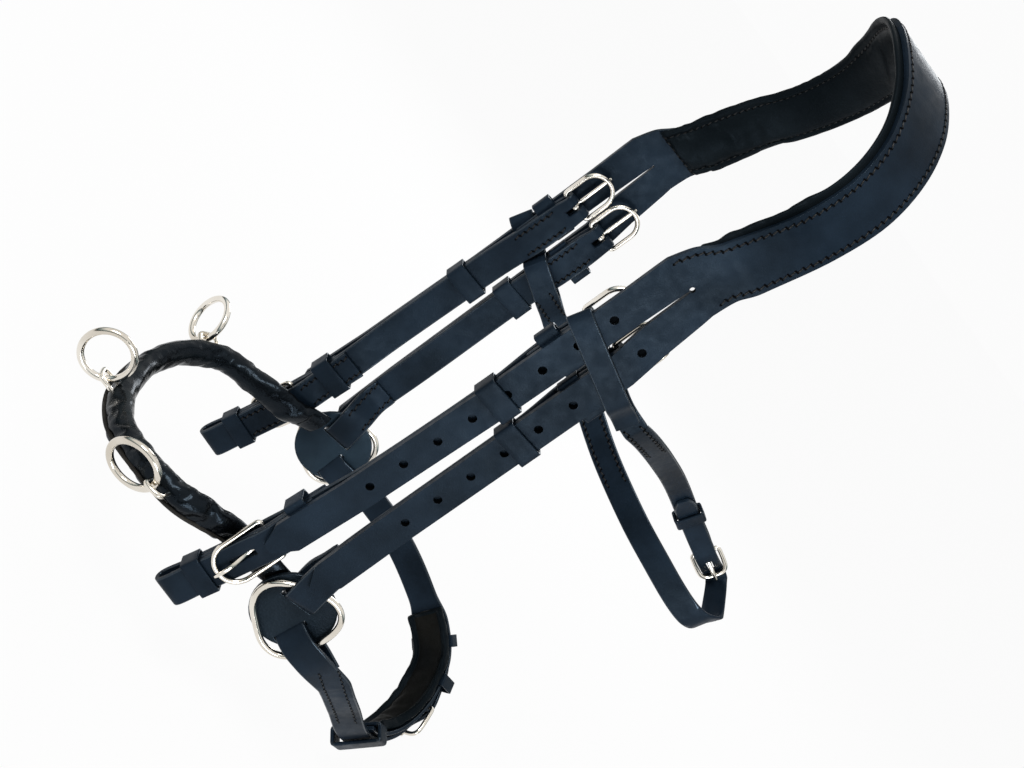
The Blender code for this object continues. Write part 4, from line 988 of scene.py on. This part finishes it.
for side in SIDES:
    y = SIDES[side] * (HALF_SPAN + BILLET_N)
    neck[side] = [np.array((x + SHIFT[side], y, z, width)) for x, z, width in LINING_NECK]
strip = smooth(neck["near"] + crown_arch() + list(reversed(neck["far"])), 14)
lining_rings = []
lining_seams = {-1: [], 1: []}
for i, row in enumerate(strip):
    before = strip[max(i - 1, 0)]
    after = strip[min(i + 1, len(strip) - 1)]
    along = Vector((0, after[1] - before[1], after[2] - before[2])).normalized()
    normal = along.cross(Vector((1, 0, 0))).normalized()
    if normal.dot(Vector((0, -row[1], HEAD_LEVEL - row[2]))) < 0:
        normal = -normal
    centre = Vector(row[:3])
    from_end = min(i, len(strip) - 1 - i)
    fade = LINING_FADE[from_end] if from_end < len(LINING_FADE) else 1.0
    half = row[3] / 2 - LINING_INSET
    share = i / (len(strip) - 1)
    swell = min(math.sin(math.pi * share) * FRONT_SPREAD, 1.0)
    halves = {-1: half + FRONT_EDGE + FRONT_SWELL * swell, 1: half}
    ring = []
    for a, b in LINING_OUTLINE:
        wide = halves[-1 if a < 0 else 1]
        high = BILLET_THICK / 2 + LINING_GAP + b * fade
        ring.append(centre + Vector((a * wide, 0, 0)) + normal * high)
    lining_rings.append(ring)
    for edge, wide in halves.items():
        over_seam = centre + Vector((edge * LINING_SEAM * wide, 0, 0)) + normal * LINING_AIM
        lining_seams[edge].append((over_seam, -normal))
lining = add_object("crown_lining", skin(lining_rings), [lining_skin])
held = sewn_points(lining_rings, fixed_columns(LINING_OUTLINE, LINING_SEAM), 3)
puff(lining, held, pressure=4.0, grow=0.05, cap=0.0010)
subdivide(lining, 1)
settle(lining)
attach(lining, "bridle")
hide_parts("crown_padding")

# Lining stitching: one finer row inside each rolled rim, and one across each end.
# It is the thread of the crown's rows, pulled down between the rim and the cushion.
lining_surface = surface_of("crown_lining")
lining_rows = []
for line in lining_seams.values():
    points = [p for p, way in line[ROW_TRIM:-ROW_TRIM]]
    ways = [way for p, way in line[ROW_TRIM:-ROW_TRIM]]
    lining_rows.append(drop_row(points, ways, lining_surface, step=1.6))
for side, i in (("near", END_ROW), ("far", len(strip) - 1 - END_ROW)):
    x, y, z, width = strip[i]
    half = width / 2 - END_INSET
    points = [Vector((x + a * half, y - SIDES[side] * LINING_AIM, z)) for a in (-1, 0, 1)]
    lining_rows.append(drop_row(points, Vector((0, SIDES[side], 0)), lining_surface))
sew("lining_thread", lining_rows, pitch=4.4, length=3.3, width=0.95)

# Nose roll: soft leather wrapped round foam and a steel strip, and sewn along its lower outer side.
# The cover is loose and crumples where the roll bends, and its ends are flat tabs on the discs.
# The raw edges stand up as a low welt along the seam.
NOSE_REACH = 113.0
NOSE_HALF = [(20, 82.6, -484), (8, 82.1, -484.5), (-8, 80.2, -485), (-24, 78.6, -485.5),
             (-42, 82.5, -486.5), (-60, 86, -488), (-74, 83, -490.5), (-88, 73.5, -495),
             (-100, 57, -502), (-108.5, 34, -509), (-NOSE_REACH, 0, -513)]
SHIFT_SPAN = 60.0
FAR_RISE = [(-100, 0.0), (-77, 3.0), (-60, 6.0), (-24, 14.0), (20, 20.0)]
FAR_MOVE = [(-60, 0.0), (-24, -3.0), (20, -4.5)]
FAR_IN = [(-60, 0.0), (-42, 2.5), (-24, 3.8), (-8, 6.2), (8, 2.4), (20, 0.0)]
ROLL_UP = Vector((0.13, 0, 0.99)).normalized()
ROLL_DEPTH = [(-60, 9.0), (-42, 7.8), (-24, 5.8), (-8, 4.2), (8, 3.4), (20, 3.0)]
ROLL_HEIGHT = [(-60, 11.0), (-24, 11.0), (-8, 10.8), (8, 10.2), (20, 9.0)]
ROLL_POINTS = 24
SEAM_COLUMN = 22
SEAM_TURN = math.radians(-36)
TAB_RINGS = 10
TAB_END = -8.0
LOOSE_SPAN = 30.0
COVER_SLACK = 0.045
COVER_FULLEST = 1.02
FOLD_DEPTH = 0.065
FOLD_SCALE = 0.105
CREASE_SHARE = 0.7
CREASE_SCALE = 0.24
PINCH_DEPTH = 0.12
PINCH_SCALE = 0.16
PINCH_REACH = 0.25
ROLL_MIDDLE = -40.0
ROLL_STRETCH = 1.3
WELT_FLAT = 0.3
WELT_RISE = 1.2
WELT_WAVE = 0.35
WELT_SCALE = 0.2
roll_skin = leather("roll_leather", (0.0012, 0.0014, 0.0018), (0.0034, 0.0042, 0.0052), (0.17, 0.30),
                    grain=900.0, depth=0.00015, crumple=0.00110, shine=0.19)
raw_edge = leather("raw_edge", (0.020, 0.018, 0.015), (0.045, 0.040, 0.034), (0.55, 0.75),
                   grain=900.0, depth=0.0002)


def nose_line():
    line = []
    for x, y, z in NOSE_HALF:
        line.append((x + SHIFT["near"] * min(y / SHIFT_SPAN, 1.0), -y, z))
    for x, y, z in reversed(NOSE_HALF[:-1]):
        far_x = x + SHIFT["far"] * min(y / SHIFT_SPAN, 1.0) + table(FAR_MOVE, x)
        line.append((far_x, y - table(FAR_IN, x), z + table(FAR_RISE, x)))
    return [Vector(p) for p in smooth(line, 8)]


# The cover's share of its full thickness, less where it folds and where it is pinched
def crumpled(spot, loose):
    fold = noise.noise(spot * FOLD_SCALE)
    fold += CREASE_SHARE * noise.noise(spot * CREASE_SCALE + Vector((7, 3, 1)))
    from_pinch = abs(noise.noise(spot * PINCH_SCALE + Vector((2, 9, 4))))
    pinched = PINCH_DEPTH * max(PINCH_REACH - from_pinch, 0.0) * 2
    return min(1.0 - (COVER_SLACK - FOLD_DEPTH * fold + pinched) * loose, COVER_FULLEST)


roll_line = nose_line()
roll_rings = []
welt_line = []
for i, place in enumerate(roll_line):
    along = (roll_line[min(i + 1, len(roll_line) - 1)] - roll_line[max(i - 1, 0)]).normalized()
    outward = along.cross(ROLL_UP).normalized()
    if outward.dot(Vector((place.x - ROLL_MIDDLE, place.y * ROLL_STRETCH, 0.0))) < 0:
        outward = -outward
    depth = table(ROLL_DEPTH, place.x)
    tall = table(ROLL_HEIGHT, place.x)
    loose = min(max((TAB_END - place.x) / LOOSE_SPAN, 0.0), 1.0)
    ring = []
    for k in range(ROLL_POINTS):
        turn = math.tau * k / ROLL_POINTS
        spot = place + ROLL_UP * (tall * math.sin(turn)) + outward * (depth * math.cos(turn))
        ring.append(place + (spot - place) * crumpled(spot, loose))
    roll_rings.append(ring)
    foot = place + ROLL_UP * (tall * math.sin(SEAM_TURN)) + outward * (depth * math.cos(SEAM_TURN))
    welt_line.append((foot, (foot - place).normalized(), along, loose))
roll = add_object("nose_roll", skin(roll_rings), [roll_skin])
held = sewn_points(roll_rings, [SEAM_COLUMN], TAB_RINGS)
puff(roll, held, pressure=1.0, grow=0.10, cap=0.0011, stiff=8.0)
subdivide(roll, 1)
settle(roll)
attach(roll, "bridle")
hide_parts("nose_cover", "nose_padding")
welt_rings = []
for foot, up, along, loose in welt_line:
    aside = along.cross(up).normalized()
    wave = WELT_WAVE * noise.noise(foot * WELT_SCALE)
    tall = WELT_FLAT + WELT_RISE * loose
    outline = ((-0.7, -1.2), (-0.75, tall * 0.8), (-0.4, tall), (0.4, tall), (0.75, tall * 0.8),
               (0.7, -1.2))
    welt_rings.append([foot + aside * (a + wave) + up * b for a, b in outline])
welt = add_object("nose_roll_seam", skin(welt_rings), [raw_edge])
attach(welt, "bridle")

# Chin pad: felt covered in soft leather, sewn to its backing, with a rolled rim round its face.
# It swells between the keepers, which pass between it and the backing.
# Its rim is the lining's leather, and its face a duller, browner one.
CHIN_RUN = [(100, -88, -509), (125, -74, -525), (155, -52, -545), (180, -33, -555), (197, -12, -550),
            (204, 12, -532), (199, 36, -512), (182, 52, -500), (160, 63, -492), (130, 76, -484.5),
            (96, 88, -480)]
CHIN_ACROSS = Vector((0.36, -0.18, 0.915)).normalized()
CHIN_MIDDLE = Vector((110, 0, -500))
CHIN_HEEL = 168.0
CHIN_STEP = 7.0


# A strap's way through its bends: places along it, and its directions there
class Route:
    def __init__(self, points, across, inside):
        self.path = [Vector(p) for p in smooth(points, 6)]
        self.across = across
        self.inside = inside
        self.marks = [0.0]
        for a, b in zip(self.path, self.path[1:]):
            self.marks.append(self.marks[-1] + (b - a).length)

    def place(self, s):
        return Vector([float(np.interp(s, self.marks, [p[k] for p in self.path])) for k in range(3)])

    def axes(self, s):
        along = (self.place(s + 3) - self.place(s - 3)).normalized()
        out = along.cross(self.across).normalized()
        if out.dot(self.place(s) - self.inside) < 0:
            out = -out
        side = along.cross(out).normalized()
        if side.dot(self.across) < 0:
            side = -side
        return along, side, out

    def chord(self, s, step):
        k = math.floor(s / step + 1e-6)
        share = s / step - k
        return self.place(k * step) * (1 - share) + self.place((k + 1) * step) * share


chin = Route(CHIN_RUN, CHIN_ACROSS, CHIN_MIDDLE)
pad_skin = leather("chin_pad_cover", (0.0028, 0.0026, 0.0020), (0.0085, 0.0076, 0.0056), (0.60, 0.80),
                   depth=0.00020, crumple=0.00050, shine=0.08, sheen=0.10)
# Across the pad, in shares of its half width, and its depth in shares of the whole
PAD_OUTLINE = [(-0.86, 0.0), (-0.98, 0.22), (-1.03, 0.50), (-1.00, 0.80), (-0.88, 0.98), (-0.74, 0.92),
               (-0.62, 0.58), (-0.54, 0.70), (-0.42, 0.78), (-0.22, 0.84), (0.0, 0.85), (0.22, 0.84),
               (0.42, 0.78), (0.54, 0.70), (0.62, 0.58), (0.74, 0.92), (0.88, 0.98), (1.00, 0.80),
               (1.03, 0.50), (0.98, 0.22), (0.86, 0.0), (0.45, 0.0), (0.0, 0.0), (-0.45, 0.0)]
PAD_SEAM = 0.62
PAD_START = 108.0
PAD_END = 238.0
PAD_HALF = 14.0
PAD_DEPTH = 8.8
PAD_LIFT = 1.8
PAD_FADE = (0.40, 0.72, 0.88, 0.97)
PANEL_SHARE = 0.60
KEEPER_PLACES = (CHIN_HEEL + 19.0, CHIN_HEEL + 45.0)
KEEPER_HALF = 7.0
KEEPER_GROOVE = 3.1
LEAST_DEPTH = 0.2
FACE_LIFT = 0.35
PAD_STEP = 2.5
pad_places = [PAD_START, PAD_START + 1.0, *np.arange(PAD_START + PAD_STEP, PAD_END - 2.0, PAD_STEP),
              PAD_END - 1.0, PAD_END]
pad_rings = []
for i, s in enumerate(pad_places):
    along, side, out = chin.axes(s)
    place = chin.chord(s, CHIN_STEP)
    to_keeper = min(abs(s - keeper) for keeper in KEEPER_PLACES)
    groove = KEEPER_GROOVE if to_keeper < KEEPER_HALF else LEAST_DEPTH
    from_end = min(i, len(pad_places) - 1 - i)
    fade = PAD_FADE[from_end] if from_end < len(PAD_FADE) else 1.0
    ring = []
    for a, b in PAD_OUTLINE:
        deep = max(PAD_DEPTH * b * fade, groove + (FACE_LIFT if b > 0.2 else 0.0))
        ring.append(place + side * (a * PAD_HALF) - out * (PAD_LIFT + deep))
    pad_rings.append(ring)
pad = add_object("chin_pad", skin(pad_rings), [pad_skin, lining_skin])
for i, face in enumerate(pad.data.polygons):
    across = sum(abs(PAD_OUTLINE[k % len(PAD_OUTLINE)][0]) for k in face.vertices) / len(face.vertices)
    at_end = i // len(PAD_OUTLINE) in (0, 1, len(pad_rings) - 3, len(pad_rings) - 2)
    face.material_index = 1 if across > PANEL_SHARE or at_end else 0
held = sewn_points(pad_rings, fixed_columns(PAD_OUTLINE, PAD_SEAM), 1)
puff(pad, held, pressure=4.0, grow=0.05, cap=0.0010)
subdivide(pad, 1)
settle(pad)
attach(pad, "bridle")
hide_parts("chin_pad_padding")

# Cheek stitching: two rows close the fold at each top buckle, both ends of the bit strap, and the
# lap at each ring. They go through both layers, beside the rims.
CHEEK_EDGE = 7.3
FAR_LAP_SHIFT = (-2.7, 20.0)
CHEEK_ROWS = [("bit_cheekpiece", FRONT_LINE, -266, -238, -8),
              ("cavesson_cheekpiece", BACK_LINE, -267, -239, -8),
              ("bit_strap", FRONT_LINE, -454, -417, -10),
              ("bit_strap", FRONT_LINE, -506, -482, -10),
              ("cavesson_cheekpiece", BACK_LINE, -461, -436, -12)]
RING_LAP = CHEEK_ROWS[-1]
cheek_seams = []
for side in SIDES:
    for lap in CHEEK_ROWS:
        part, line, low, high, n = lap
        surface = surface_of(side + "_" + part + "_leather")
        shift_x, shift_z = FAR_LAP_SHIFT if lap is RING_LAP and side == "far" else (0.0, 0.0)
        for edge in (-CHEEK_EDGE, CHEEK_EDGE):
            points = [on_side(side, table(line, z) + edge + shift_x, n, z + shift_z)
                      for z in (low, high)]
            cheek_seams.append(drop_row(points, Vector((0, SIDES[side], 0)), surface))
sew("cheek_thread", cheek_seams)

# Throatlatch stitching: two rows close the long leg's lap, its loop, and the near leg's lap.
# The stitches are smaller than on the cheeks, since the straps are narrower.
THROAT_ACROSS = Vector((0.25, 0, 0.97)).normalized()
LONG_LAP = ((119, 70, -303.4), (140, 52, -309.3), (159, 36, -312.9))
NEAR_LAP = ((70, -90, -246), (84, -84.5, -247), (101, -72, -250))
LOOP_LAP = ((36, 80, -278.5), (54, 80, -281.8))
long_surface = surface_of("throat_strap_leather")
near_surface = surface_of("throat_near_strap_leather")
throat_seams = []
for lap, across, edge, way, surface in ((LONG_LAP, THROAT_ACROSS, 6.4, (0.45, 0.9, 0), long_surface),
                                        (LOOP_LAP, Vector((0, 0, 1)), 5.6, (0, 1, 0), long_surface),
                                        (NEAR_LAP, THROAT_ACROSS, 5.0, (-0.45, 0.9, 0), near_surface)):
    for beside in (-edge, edge):
        points = [Vector(p) + across * beside for p in lap]
        throat_seams.append(drop_row(points, Vector(way), surface))
sew("throat_thread", throat_seams, pitch=4.2, length=3.4)

# Chin strap stitching: two rows close the lap of the near leg, from the ring to past its bend.
# The thread is the same, in shorter and flatter stitches.
CHIN_EDGE = 6.0
CHIN_LAP = (-14.0, 60.0)
CHIN_ROW_STEP = 4.0
chin_surface = surface_of("chin_strap_leather")
chin_seams = []
for edge in (-CHIN_EDGE, CHIN_EDGE):
    points = []
    ways = []
    for s in np.arange(*CHIN_LAP, CHIN_ROW_STEP):
        along, side, out = chin.axes(max(s, 0.0))
        points.append(chin.place(max(s, 0.0)) + along * min(s, 0.0) + side * edge)
        ways.append(-out)
    chin_seams.append(drop_row(points, ways, chin_surface))
sew("chin_thread", chin_seams, pitch=4.8, length=3.1, width=1.0, slant=0.2)
